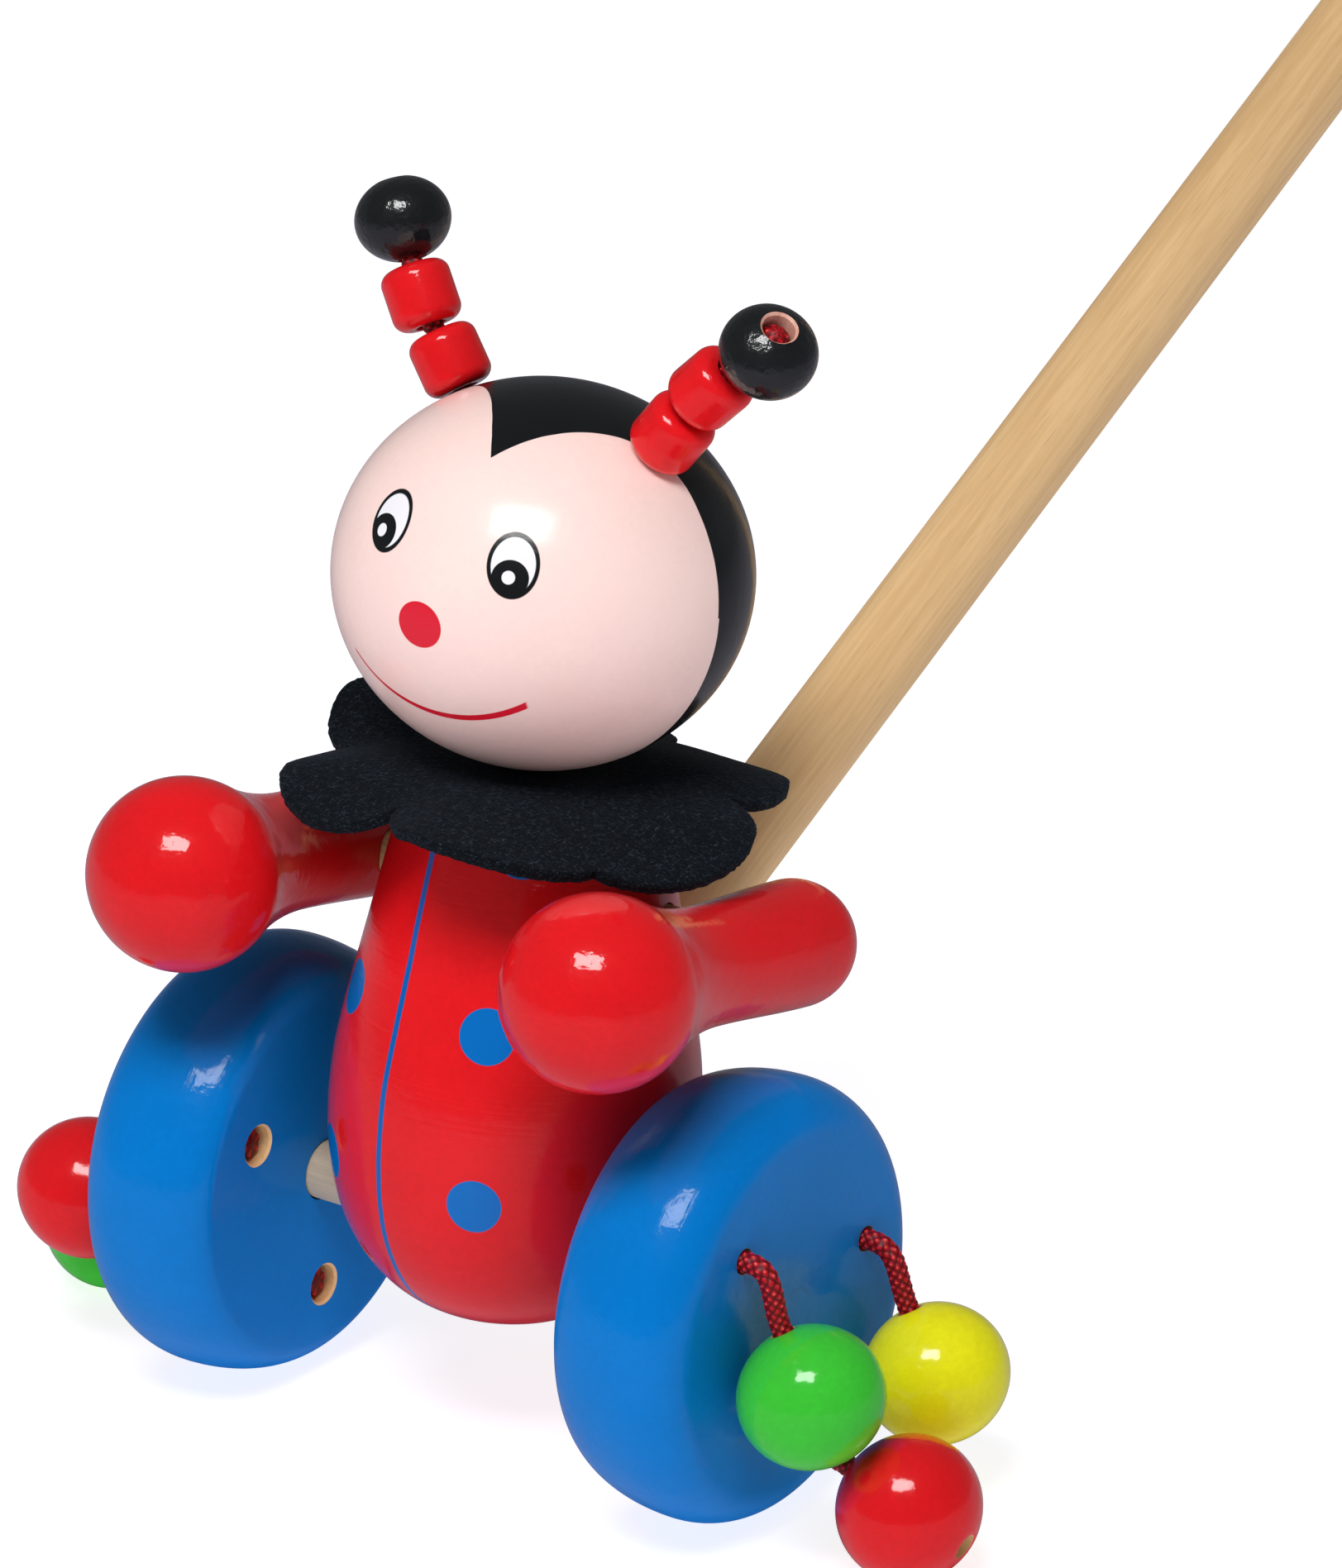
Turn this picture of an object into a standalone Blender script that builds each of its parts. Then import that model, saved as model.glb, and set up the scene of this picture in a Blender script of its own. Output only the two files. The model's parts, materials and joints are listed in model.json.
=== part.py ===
"""Push-along wooden ladybird: an egg-shaped body on two drummed wheels, with beads on cords and a long handle.

Blender 4.5, metres, +Z up. X runs along the axle, the face looks along -Y, and the origin is the
middle of the flat end of the handle knob, where a hand takes hold of the toy.
"""

from math import atan2, ceil, cos, exp, hypot, log, pi, radians, sin, sqrt

import bmesh
import bpy
from mathutils import Matrix, Vector

MM = 0.001
GAP = 0.3 * MM
AXLE_CENTRE = Vector((0.0, -471.4, -228.4)) * MM

# Body: a turned egg whose axis leans back from a point behind the axle.
BODY_LEAN = radians(6.82)
BODY_OFFSET = 4.0 * MM
BELLY_RADIUS = 30.7 * MM
BELLY_HEIGHT = 20.0 * MM
BODY_BOTTOM = -17.0 * MM
BODY_TOP = 76.2 * MM
BOTTOM_POWER = 2.35
SHOULDER_SLOPE = 0.206
SHOULDER_START = 26.7 * MM
SHOULDER_EASE = 3.0 * MM
BODY_EDGE = 3.0 * MM

# Head: an ellipsoid on a dowel, with a small flat turned under it.
HEAD_CENTRE = Vector((0.0, -1.9, 110.2)) * MM
HEAD_RADIUS = 34.3 * MM
HEAD_HALF_HEIGHT = 31.6 * MM
HEAD_FLAT = 79.1 * MM
DOWEL_RADIUS = 4.0 * MM
NECK_DOWEL_ENDS = (65.0 * MM, 93.0 * MM)

# Felt collar: six rounded petals that droop over the shoulders.
COLLAR_HEIGHT = 77.65 * MM
COLLAR_THICKNESS = 2.0 * MM
COLLAR_HOLE = 4.6 * MM
COLLAR_FLAT = 17.5 * MM
PETAL_TIP = 42.0 * MM
CUSPS = (  # the cusps between the six petals: degrees round from the front, radius in mm
    (-72.0, 30.0),
    (-10.0, 29.5),
    (50.0, 37.5),
    (110.0, 31.5),
    (170.0, 30.0),
    (228.0, 31.0),
)
RIPPLES = (  # the felt's height at the tips' radius: degrees round from the front, height in mm
    (-72.0, 71.5),
    (-52.0, 73.8),
    (-17.0, 69.5),
    (8.0, 74.8),
    (62.0, 68.4),
    (104.0, 72.6),
    (129.0, 74.2),
    (165.0, 71.5),
    (205.0, 74.5),
    (262.0, 80.5),
)

# Arms: clubs on one dowel through the shoulders.
ARM_X = 41.0 * MM
SHOULDER = Vector((0.0, 5.0, 54.0)) * MM
ARM_SLOPE = radians(11.8)
HAND_RADIUS = 16.0 * MM
WRIST_RADIUS = 9.9 * MM
ELBOW_RADIUS = 10.6 * MM
WRIST_FILLET = 14.0 * MM
HAND_TO_SHOULDER = 44.2 * MM
ARM_LENGTH = 55.5 * MM

# Wheels: drums with a wide rounded rim and flat faces.
WHEEL_RADIUS = 37.3 * MM
WHEEL_INNER_X = 34.7 * MM
WHEEL_RING_X = 49.6 * MM
WHEEL_OUTER_X = 59.9 * MM
INNER_FACE_RADIUS = 30.6 * MM
OUTER_FACE_RADIUS = 29.6 * MM
AXLE_RADIUS = 5.0 * MM
AXLE_END_X = 54.0 * MM
HOLE_CIRCLE = 21.1 * MM
HOLE_RADIUS = 2.2 * MM
KNOT_BORE_RADIUS = 3.3 * MM
KNOT_BORE_DEPTH = 9.0 * MM
LEFT_TURN = 147.9
RIGHT_TURN = 14.1

# Beads on cords. Offsets run from the hole in the wheel to the bead: outwards, back and up.
CORD_RADIUS = 1.8 * MM
BEAD_RADIUS = 12.2 * MM
BEAD_HALF_HEIGHT = 11.65 * MM
BEAD_HOLE = 2.15 * MM
KNOT_RADIUS = 2.8 * MM
KNOT_X = 38.6 * MM
CORD_STOP = 4.0 * MM
BEADS = (
    ("right", "yellow", 0, (13.9, 0.0, -20.5), (0.47, 0.0, -0.88)),
    ("right", "green", 1, (13.0, 0.0, -20.3), (0.485, 0.0, -0.875)),
    ("right", "red", 2, (26.0, 0.0, -4.7), (0.944, 0.0, -0.33)),
    ("left", "red", 0, (12.8, 2.5, -19.0), (0.45, 0.1, -0.88)),
    ("left", "green", 1, (25.2, 7.0, -4.3), (0.92, 0.34, -0.2)),
    ("left", "yellow", 2, (12.9, 4.0, -18.0), (0.46, 0.2, -0.86)),
)

# Antennae: two barrels and a ball on a cord. Places are from the axle centre.
BARREL_RADIUS = 5.8 * MM
BARREL_HALF_HEIGHT = 5.2 * MM
BARREL_EDGE = 2.0 * MM
BARREL_HOLE = 2.4 * MM
BALL_RADIUS = 7.95 * MM
BALL_HALF_HEIGHT = 7.0 * MM
BALL_HOLE = 2.4 * MM
BALL_MOUTH = 2.7 * MM
ANTENNAE = {  # lower barrel, upper barrel and ball, from the axle's centre; the way the ball's mouth faces
    "left": ((-24.6, 24.0, 138.4), (-31.1, 25.1, 147.8), (-37.2, 28.6, 158.7), (-0.47, 0.27, 0.84)),
    "right": ((24.4, 16.5, 138.7), (31.5, 16.9, 147.5), (41.9, 17.6, 155.5), (0.508, -0.276, 0.816)),
}

# Stick and knob: the stick rises to the back and carries the knob on its end.
STICK_RADIUS = 7.5 * MM
STICK_SLOPE = radians(24.97)
STICK_HEIGHT = 8.9 * MM
STICK_START = 7.6 * MM
STICK_LENGTH = 520.0 * MM
KNOB_RADIUS = 17.0 * MM
KNOB_CENTRE_BACK = 15.5 * MM
KNOB_BORE_LEFT = 9.0 * MM

RED = (0.70, 0.015, 0.012, 1.0)
BLUE = (0.004, 0.18, 0.60, 1.0)
GREEN = (0.05, 0.55, 0.04, 1.0)
YELLOW = (0.80, 0.76, 0.02, 1.0)
BLACK = (0.008, 0.009, 0.010, 1.0)
SKIN = (0.93, 0.70, 0.62, 1.0)
WOOD = (0.66, 0.46, 0.24, 1.0)
FELT = (0.010, 0.012, 0.014, 1.0)
PAINTS = {"red": RED, "green": GREEN, "yellow": YELLOW}


def clear_scene():
    for obj in list(bpy.data.objects):
        bpy.data.objects.remove(obj, do_unlink=True)


def new_collection(name, hidden=False):
    collection = bpy.data.collections.new(name)
    collection.hide_render = hidden
    bpy.context.scene.collection.children.link(collection)
    return collection


def new_material(name, colour, roughness=0.25, metallic=0.0):
    material = bpy.data.materials.new(name)
    material.use_nodes = True
    shader = material.node_tree.nodes["Principled BSDF"]
    shader.inputs["Base Color"].default_value = colour
    shader.inputs["Roughness"].default_value = roughness
    shader.inputs["Metallic"].default_value = metallic
    material.diffuse_color = colour
    return material


def new_object(name, data, collection, material=None, parent=None):
    obj = bpy.data.objects.new(name, data)
    collection.objects.link(obj)
    obj.parent = parent
    if material:
        data.materials.append(material)
    return obj


def new_empty(name, location, parent=None):
    empty = new_object(name, None, PARTS, parent=parent)
    empty.location = location
    empty.empty_display_size = 5.0 * MM
    return empty


def aim(obj, place, direction):
    """Puts obj at place, with its own Z along direction."""
    obj.location = place
    obj.rotation_euler = Vector(direction).to_track_quat("Z", "Y").to_euler()


def turned(name, profile, steps, collection, material=None, parent=None, ring=False):
    """A solid of revolution about Z. The profile runs down the outer side, as (radius, height)."""
    mesh = bpy.data.meshes.new(name)
    points = [(radius, 0.0, height) for radius, height in profile]
    edges = [(i, i + 1) for i in range(len(points) - 1)]
    if ring:
        edges.append((len(points) - 1, 0))
    mesh.from_pydata(points, edges, [])
    obj = new_object(name, mesh, collection, material, parent)
    screw = obj.modifiers.new("Turn", "SCREW")
    screw.axis = "Z"
    screw.steps = steps
    screw.render_steps = steps
    screw.use_merge_vertices = True
    screw.merge_threshold = 0.00001
    screw.use_smooth_shade = True
    return obj


def rod(name, radius, low, high, steps, collection, material=None, parent=None):
    """A plain cylinder along Z, from low to high."""
    mesh = bpy.data.meshes.new(name)
    shape = bmesh.new()
    bmesh.ops.create_cone(
        shape,
        cap_ends=True,
        segments=steps,
        radius1=radius,
        radius2=radius,
        depth=high - low,
        matrix=Matrix.Translation((0.0, 0.0, (low + high) / 2)),
    )
    for face in shape.faces:
        face.smooth = len(face.verts) == 4
    shape.to_mesh(mesh)
    shape.free()
    return new_object(name, mesh, collection, material, parent)


def cut(obj, cutter):
    boolean = obj.modifiers.new("Cut", "BOOLEAN")
    boolean.operation = "DIFFERENCE"
    boolean.solver = "EXACT"
    boolean.object = cutter
    cutter.display_type = "WIRE"
    cutter.hide_render = True


def arc(centre, radii, start, end, count):
    """Points of a circle or ellipse in the profile's plane, with angles measured from the radius axis."""
    points = []
    for i in range(count + 1):
        angle = start + (end - start) * i / count
        points.append((centre[0] + radii[0] * cos(angle), centre[1] + radii[1] * sin(angle)))
    return points


def bead_profile(radius, half_height, hole, count):
    """A flattened ball with a hole through it."""
    start = atan2(sqrt(1 - (hole / radius) ** 2), hole / radius)
    return arc((0.0, 0.0), (radius, half_height), start, -start, count)


def body_radius(height):
    if height < BELLY_HEIGHT:
        share = (BELLY_HEIGHT - height) / (BELLY_HEIGHT - BODY_BOTTOM)
        return BELLY_RADIUS * max(0.0, 1 - share**BOTTOM_POWER) ** (1 / BOTTOM_POWER)
    return BELLY_RADIUS - SHOULDER_SLOPE * (eased(height) - eased(BELLY_HEIGHT))


def eased(height):
    return SHOULDER_EASE * log(1 + exp((height - SHOULDER_START) / SHOULDER_EASE))


def make_body():
    edge_height = BODY_TOP - BODY_EDGE
    edge_radius = body_radius(edge_height)
    profile = [(0.0, BODY_TOP)]
    profile += arc((edge_radius - BODY_EDGE, edge_height), (BODY_EDGE, BODY_EDGE), pi / 2, 0.0, 3)
    for i in range(1, 9):
        height = edge_height + (BELLY_HEIGHT - edge_height) * i / 8
        profile.append((body_radius(height), height))
    for i in range(1, 10):
        height = BELLY_HEIGHT + (BODY_BOTTOM - BELLY_HEIGHT) * sin(i * pi / 20)
        profile.append((body_radius(height), height))
    profile.append((0.0, BODY_BOTTOM))
    body = turned("body", profile, 48, PARTS, new_material("body_paint", RED), BODY_FRAME)
    axle_hole = rod("axle_hole", AXLE_RADIUS + 2 * GAP, -50.0 * MM, 50.0 * MM, 24, CUTTERS, parent=AXLE)
    axle_hole.rotation_euler = (0.0, pi / 2, 0.0)
    shoulder_hole = rod(
        "shoulder_hole", DOWEL_RADIUS + GAP, -50.0 * MM, 50.0 * MM, 20, CUTTERS, parent=BODY_FRAME
    )
    aim(shoulder_hole, SHOULDER, (1.0, 0.0, 0.0))
    neck_hole = rod(
        "neck_hole",
        DOWEL_RADIUS + GAP,
        NECK_DOWEL_ENDS[0] - GAP,
        BODY_TOP + 5.0 * MM,
        20,
        CUTTERS,
        parent=BODY_FRAME,
    )
    stick_hole = rod(
        "stick_hole", STICK_RADIUS + GAP, STICK_START - GAP, 80.0 * MM, 28, CUTTERS, parent=STICK_LINE
    )
    for cutter in (axle_hole, shoulder_hole, neck_hole, stick_hole):
        cut(body, cutter)


def make_head():
    centre = HEAD_CENTRE.z
    low = atan2((HEAD_FLAT - centre) / HEAD_HALF_HEIGHT, sqrt(1 - ((HEAD_FLAT - centre) / HEAD_HALF_HEIGHT) ** 2))
    profile = arc((0.0, 0.0), (HEAD_RADIUS, HEAD_HALF_HEIGHT), pi / 2, low, 22)
    profile[0] = (0.0, HEAD_HALF_HEIGHT)
    profile.append((0.0, HEAD_FLAT - centre))
    head = turned("head", profile, 48, PARTS, new_material("head_paint", SKIN), BODY_FRAME)
    head.location = HEAD_CENTRE
    hole = rod(
        "head_hole",
        DOWEL_RADIUS + GAP,
        HEAD_FLAT - 5.0 * MM,
        NECK_DOWEL_ENDS[1] + GAP,
        20,
        CUTTERS,
        parent=BODY_FRAME,
    )
    cut(head, hole)
    low_end, high_end = NECK_DOWEL_ENDS
    rod("neck_dowel", DOWEL_RADIUS, low_end, high_end, 20, PARTS, new_material("dowel_wood", WOOD, 0.6), BODY_FRAME)


def petal_edge(steps):
    """Round the collar: (angle, edge radius), with a spot on each cusp."""
    spots = []
    for (start, low), (end, high) in zip(CUSPS, CUSPS[1:] + ((CUSPS[0][0] + 360.0, CUSPS[0][1]),)):
        for i in range(steps):
            aside = sin((i / steps - 0.5) * pi)
            notch = ((low + high) / 2 + (high - low) / 2 * aside) * MM
            radius = notch + (PETAL_TIP - notch) * (1 - aside**2) ** 0.65
            spots.append((radians((start + end) / 2 + (end - start) / 2 * aside), radius))
    return spots


def ripple(angle):
    """The felt's height at the petal tips' radius, in that direction."""
    first = RIPPLES[0]
    turn = (angle / radians(1.0) - first[0]) % 360.0 + first[0]
    for (start, low), (end, high) in zip(RIPPLES, RIPPLES[1:] + ((first[0] + 360.0, first[1]),)):
        if turn <= end:
            share = (turn - start) / (end - start)
            return (low + (high - low) * share * share * (3 - 2 * share)) * MM
    return first[1] * MM


def collar_point(spot, share):
    """A point half-way through the felt, at a share of the way from its hole to its edge."""
    angle, edge = spot
    radius = COLLAR_HOLE + (edge - COLLAR_HOLE) * share
    fall = max(0.0, (radius - COLLAR_FLAT) / (PETAL_TIP - COLLAR_FLAT)) ** 1.4
    height = COLLAR_HEIGHT + (ripple(angle) - COLLAR_HEIGHT) * fall
    return Vector((radius * sin(angle), -radius * cos(angle), height))


def make_collar():
    rings = 7
    spots = petal_edge(14)
    shape = bmesh.new()
    grid = []
    for i in range(rings):
        grid.append([shape.verts.new(collar_point(spot, i / (rings - 1))) for spot in spots])
    for inner, outer in zip(grid, grid[1:]):
        for j in range(len(spots)):
            k = (j + 1) % len(spots)
            shape.faces.new((inner[j], outer[j], outer[k], inner[k])).smooth = True
    bmesh.ops.recalc_face_normals(shape, faces=shape.faces)
    mesh = bpy.data.meshes.new("collar")
    shape.to_mesh(mesh)
    shape.free()
    collar = new_object("collar", mesh, PARTS, new_material("felt", FELT, 0.95), BODY_FRAME)
    solidify = collar.modifiers.new("Thickness", "SOLIDIFY")
    solidify.thickness = COLLAR_THICKNESS
    solidify.offset = 0.0


def arm_profile():
    """From the shoulder end, down through the wrist, to the tip of the hand."""
    end = HAND_TO_SHOULDER - ARM_LENGTH
    across = WRIST_RADIUS + WRIST_FILLET
    reach = HAND_RADIUS + WRIST_FILLET
    along = sqrt(reach**2 - across**2)
    turn = atan2(across, along)
    hand = HAND_TO_SHOULDER
    profile = arc((0.0, end), (ELBOW_RADIUS, -ELBOW_RADIUS), pi / 2, 0.0, 7)
    wrist = hand - along
    for i in range(1, 5):
        share = i / 5
        radius = ELBOW_RADIUS + (WRIST_RADIUS - ELBOW_RADIUS) * share
        profile.append((radius, end + (wrist - end) * share))
    profile += arc((across, wrist), (-WRIST_FILLET, WRIST_FILLET), 0.0, pi / 2 - turn, 4)
    profile += arc((0.0, hand), (HAND_RADIUS, HAND_RADIUS), turn - pi / 2, pi / 2, 14)[1:]
    profile[0] = (0.0, end - ELBOW_RADIUS)
    profile[-1] = (0.0, hand + HAND_RADIUS)
    return [(radius, -height) for radius, height in profile]


def make_arms():
    shoulder = BODY_FRAME_MATRIX @ SHOULDER
    for side, sign in (("left", -1), ("right", 1)):
        arm = turned(
            "arm_" + side, arm_profile(), 28, PARTS, new_material("arm_paint_" + side, RED), AXLE
        )
        aim(arm, shoulder + Vector((sign * ARM_X, 0.0, 0.0)), (0.0, cos(ARM_SLOPE), -sin(ARM_SLOPE)))
        hole = rod(
            "arm_hole_" + side, DOWEL_RADIUS + GAP, 0.0, ARM_X + 2.0 * MM + GAP, 20, CUTTERS, parent=AXLE
        )
        aim(hole, shoulder, (sign, 0.0, 0.0))
        cut(arm, hole)
    half = ARM_X + 2.0 * MM
    dowel = rod(
        "shoulder_dowel", DOWEL_RADIUS, -half, half, 20, PARTS, new_material("shoulder_wood", WOOD, 0.6), AXLE
    )
    aim(dowel, shoulder, (1.0, 0.0, 0.0))


def wheel_profile():
    """From the outer face, over the rim, to the inner face and into the blind hole for the axle."""
    bore = AXLE_RADIUS + GAP
    bore_end = AXLE_END_X + GAP
    outer = WHEEL_RADIUS - OUTER_FACE_RADIUS
    inner = WHEEL_RADIUS - INNER_FACE_RADIUS
    profile = [(0.0, WHEEL_OUTER_X)]
    profile += arc((OUTER_FACE_RADIUS, WHEEL_RING_X), (outer, WHEEL_OUTER_X - WHEEL_RING_X), pi / 2, 0.0, 7)
    profile += arc((INNER_FACE_RADIUS, WHEEL_RING_X), (inner, WHEEL_RING_X - WHEEL_INNER_X), 0.0, -pi / 2, 9)[1:]
    profile += [(bore, WHEEL_INNER_X), (bore, bore_end), (0.0, bore_end)]
    return profile


def hole_place(turn, index):
    """The centre of one of a wheel's three holes, as (y, z) from the axle."""
    angle = radians(turn + 120.0 * index)
    return Vector((0.0, HOLE_CIRCLE * cos(angle), HOLE_CIRCLE * sin(angle)))


def make_wheels():
    for side, sign, turn in (("left", -1, LEFT_TURN), ("right", 1, RIGHT_TURN)):
        wheel = turned(
            "wheel_" + side, wheel_profile(), 56, PARTS, new_material("wheel_paint_" + side, BLUE), AXLE
        )
        aim(wheel, (0.0, 0.0, 0.0), (sign, 0.0, 0.0))
        step = WHEEL_INNER_X + KNOT_BORE_DEPTH
        far = WHEEL_OUTER_X + 5.0 * MM
        near = WHEEL_INNER_X - 5.0 * MM
        profile = [(0.0, far), (HOLE_RADIUS, far), (HOLE_RADIUS, step), (KNOT_BORE_RADIUS, step)]
        profile += [(KNOT_BORE_RADIUS, near), (0.0, near)]
        for index in range(3):
            cutter = turned("hole_%s_%d" % (side, index), profile, 16, CUTTERS, parent=AXLE)
            aim(cutter, hole_place(turn, index), (sign, 0.0, 0.0))
            cut(wheel, cutter)
    axle = rod(
        "axle", AXLE_RADIUS, -AXLE_END_X, AXLE_END_X, 28, PARTS, new_material("axle_wood", WOOD, 0.6), AXLE
    )
    axle.rotation_euler = (0.0, pi / 2, 0.0)


def cord_route(start, exit_point, direction, entry, end, spacing):
    """Straight out of the hole, round to the bead in one smooth bend, and into it."""
    outwards = (exit_point - start).normalized()
    reach = (entry - exit_point).length * 0.45
    bend = [exit_point, exit_point + outwards * reach, entry - direction * reach, entry]
    count = max(3, ceil((entry - exit_point).length / spacing))
    route = [start]
    for i in range(count + 1):
        t = i / count
        weights = ((1 - t) ** 3, 3 * t * (1 - t) ** 2, 3 * t * t * (1 - t), t**3)
        route.append(sum((w * p for w, p in zip(weights, bend)), Vector()))
    return route + [end]


def tube(name, route, radius, material, parent, knot=0.0):
    """A cord. With a knot, its first point swells to that radius."""
    curve = bpy.data.curves.new(name, "CURVE")
    curve.dimensions = "3D"
    curve.bevel_depth = radius
    curve.bevel_resolution = 2
    curve.use_fill_caps = True
    points = list(route)
    widths = [1.0] * len(points)
    if knot:
        along = (points[1] - points[0]).normalized()
        head = [points[0] + along * knot * share for share in (0.0, 0.35, 1.25, 1.6)]
        points = head + points[1:]
        widths = [0.8, knot / radius, knot / radius, 1.0] + [1.0] * (len(points) - 4)
    spline = curve.splines.new("POLY")
    spline.points.add(len(points) - 1)
    for spot, point, width in zip(spline.points, points, widths):
        spot.co = (*point, 1.0)
        spot.radius = width
    return new_object(name, curve, PARTS, material, parent)


def make_beads():
    """Each cord and its bead turn about the hole that the cord comes out of."""
    turns = {"left": LEFT_TURN, "right": RIGHT_TURN}
    for side, colour, index, offset, direction in BEADS:
        sign = 1 if side == "right" else -1
        name = side + "_" + colour
        flip = Vector((sign, 1.0, 1.0))
        axis = (Vector(direction) * flip).normalized()
        centre = Vector(offset) * flip * MM + Vector((sign * WHEEL_OUTER_X, 0.0, 0.0))
        hinge = new_empty("hinge_" + name, hole_place(turns[side], index), AXLE)
        bead = turned(
            "bead_" + name,
            bead_profile(BEAD_RADIUS, BEAD_HALF_HEIGHT, BEAD_HOLE, 9),
            24,
            PARTS,
            new_material("bead_paint_" + name, PAINTS[colour]),
            hinge,
            ring=True,
        )
        aim(bead, centre, -axis)
        route = cord_route(
            Vector((sign * KNOT_X, 0.0, 0.0)),
            Vector((sign * (WHEEL_OUTER_X + MM), 0.0, 0.0)),
            axis,
            centre - axis * BEAD_HALF_HEIGHT,
            centre + axis * (BEAD_HALF_HEIGHT - CORD_STOP),
            2.2 * CORD_RADIUS,
        )
        material = new_material("cord_" + name, RED, 0.7)
        tube("cord_" + name, route, CORD_RADIUS, material, hinge, KNOT_RADIUS)


def barrel_profile():
    straight = BARREL_HALF_HEIGHT - BARREL_EDGE
    across = BARREL_RADIUS - BARREL_EDGE
    profile = [(BARREL_HOLE, BARREL_HALF_HEIGHT)]
    profile += arc((across, straight), (BARREL_EDGE, BARREL_EDGE), pi / 2, 0.0, 3)
    profile += arc((across, -straight), (BARREL_EDGE, BARREL_EDGE), 0.0, -pi / 2, 3)
    profile.append((BARREL_HOLE, -BARREL_HALF_HEIGHT))
    return profile


def make_antennae():
    """Each antenna springs about the hole in the head that its cord comes out of."""
    for side, (lower, upper, ball, mouth) in ANTENNAE.items():
        lower, upper, ball = (Vector(place) * MM for place in (lower, upper, ball))
        mouth = Vector(mouth).normalized()
        lower_axis = (upper - lower).normalized()
        upper_axis = (ball - lower).normalized()
        ball_axis = (ball - upper).normalized()
        base = lower - lower_axis * (BARREL_HALF_HEIGHT + 2 * GAP)
        spring = new_empty("spring_" + side, base, AXLE)
        for level, place, axis in (("lower", lower, lower_axis), ("upper", upper, upper_axis)):
            barrel = turned(
                "barrel_%s_%s" % (level, side),
                barrel_profile(),
                24,
                PARTS,
                new_material("barrel_paint_%s_%s" % (level, side), RED),
                spring,
                ring=True,
            )
            aim(barrel, place - base, axis)
        tip = turned(
            "antenna_ball_" + side,
            arc((0.0, 0.0), (BALL_RADIUS, BALL_HALF_HEIGHT), pi / 2, -pi / 2, 12),
            24,
            PARTS,
            new_material("ball_paint_" + side, BLACK),
            spring,
        )
        aim(tip, ball - base, mouth)
        reach = BALL_RADIUS + 2.0 * MM
        bore = rod("ball_bore_" + side, BALL_HOLE, -reach, 1.5 * MM, 16, CUTTERS, parent=spring)
        aim(bore, ball - base, ball_axis)
        well = rod("ball_mouth_" + side, BALL_MOUTH, -1.0 * MM, reach, 16, CUTTERS, parent=spring)
        aim(well, ball - base, mouth)
        for cutter in (bore, well):
            cut(tip, cutter)
        route = [lower_axis * 2 * GAP]
        for place, axis in ((lower, lower_axis), (upper, upper_axis)):
            route.append(place - base - axis * BARREL_HALF_HEIGHT * 0.7)
            route.append(place - base + axis * BARREL_HALF_HEIGHT * 0.7)
        route.append(ball - base - ball_axis * BALL_HALF_HEIGHT * 0.8)
        route.append(ball - base)
        route.append(ball - base + mouth * BALL_HALF_HEIGHT * 0.6)
        tube("antenna_cord_" + side, route, CORD_RADIUS, new_material("antenna_cord_" + side, RED, 0.7), spring)


def make_stick():
    end = STICK_LENGTH - KNOB_BORE_LEFT
    rod("stick", STICK_RADIUS, STICK_START, end, 32, PARTS, new_material("stick_wood", WOOD, 0.5), STICK_LINE)
    centre = STICK_LENGTH - KNOB_CENTRE_BACK
    bore = STICK_RADIUS + GAP
    top = atan2(KNOB_CENTRE_BACK, sqrt(KNOB_RADIUS**2 - KNOB_CENTRE_BACK**2))
    low = atan2(-sqrt(KNOB_RADIUS**2 - bore**2), bore)
    profile = [(0.0, STICK_LENGTH)]
    profile += arc((0.0, centre), (KNOB_RADIUS, KNOB_RADIUS), top, low, 14)
    profile += [(bore, end + GAP), (0.0, end + GAP)]
    turned("handle_knob", profile, 32, PARTS, new_material("knob_paint", RED), STICK_LINE)


clear_scene()
PARTS = new_collection("push_along_ladybird")
CUTTERS = new_collection("cutters", hidden=True)
AXLE = new_empty("axle_centre", AXLE_CENTRE)
BODY_FRAME = new_empty("body_frame", (0.0, BODY_OFFSET, 0.0), AXLE)
BODY_FRAME.rotation_euler = (-BODY_LEAN, 0.0, 0.0)
BODY_FRAME_MATRIX = Matrix.Translation((0.0, BODY_OFFSET, 0.0)) @ Matrix.Rotation(-BODY_LEAN, 4, "X")
STICK_LINE = new_empty("stick_line", (0.0, 0.0, STICK_HEIGHT), AXLE)
STICK_LINE.rotation_euler = (STICK_SLOPE - pi / 2, 0.0, 0.0)
make_body()
make_head()
make_collar()
make_arms()
make_wheels()
make_beads()
make_antennae()
make_stick()
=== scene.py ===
"""The looks of a push-along wooden ladybird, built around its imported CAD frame.

Metres, +Z up. X runs along the axle, the face looks along -Y and the stick rises to the back.
"""

import json
from math import atan2, ceil, cos, exp, floor, hypot, log, pi, radians, sin, sqrt

import bmesh
import bpy
from mathutils import Matrix, Vector


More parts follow.
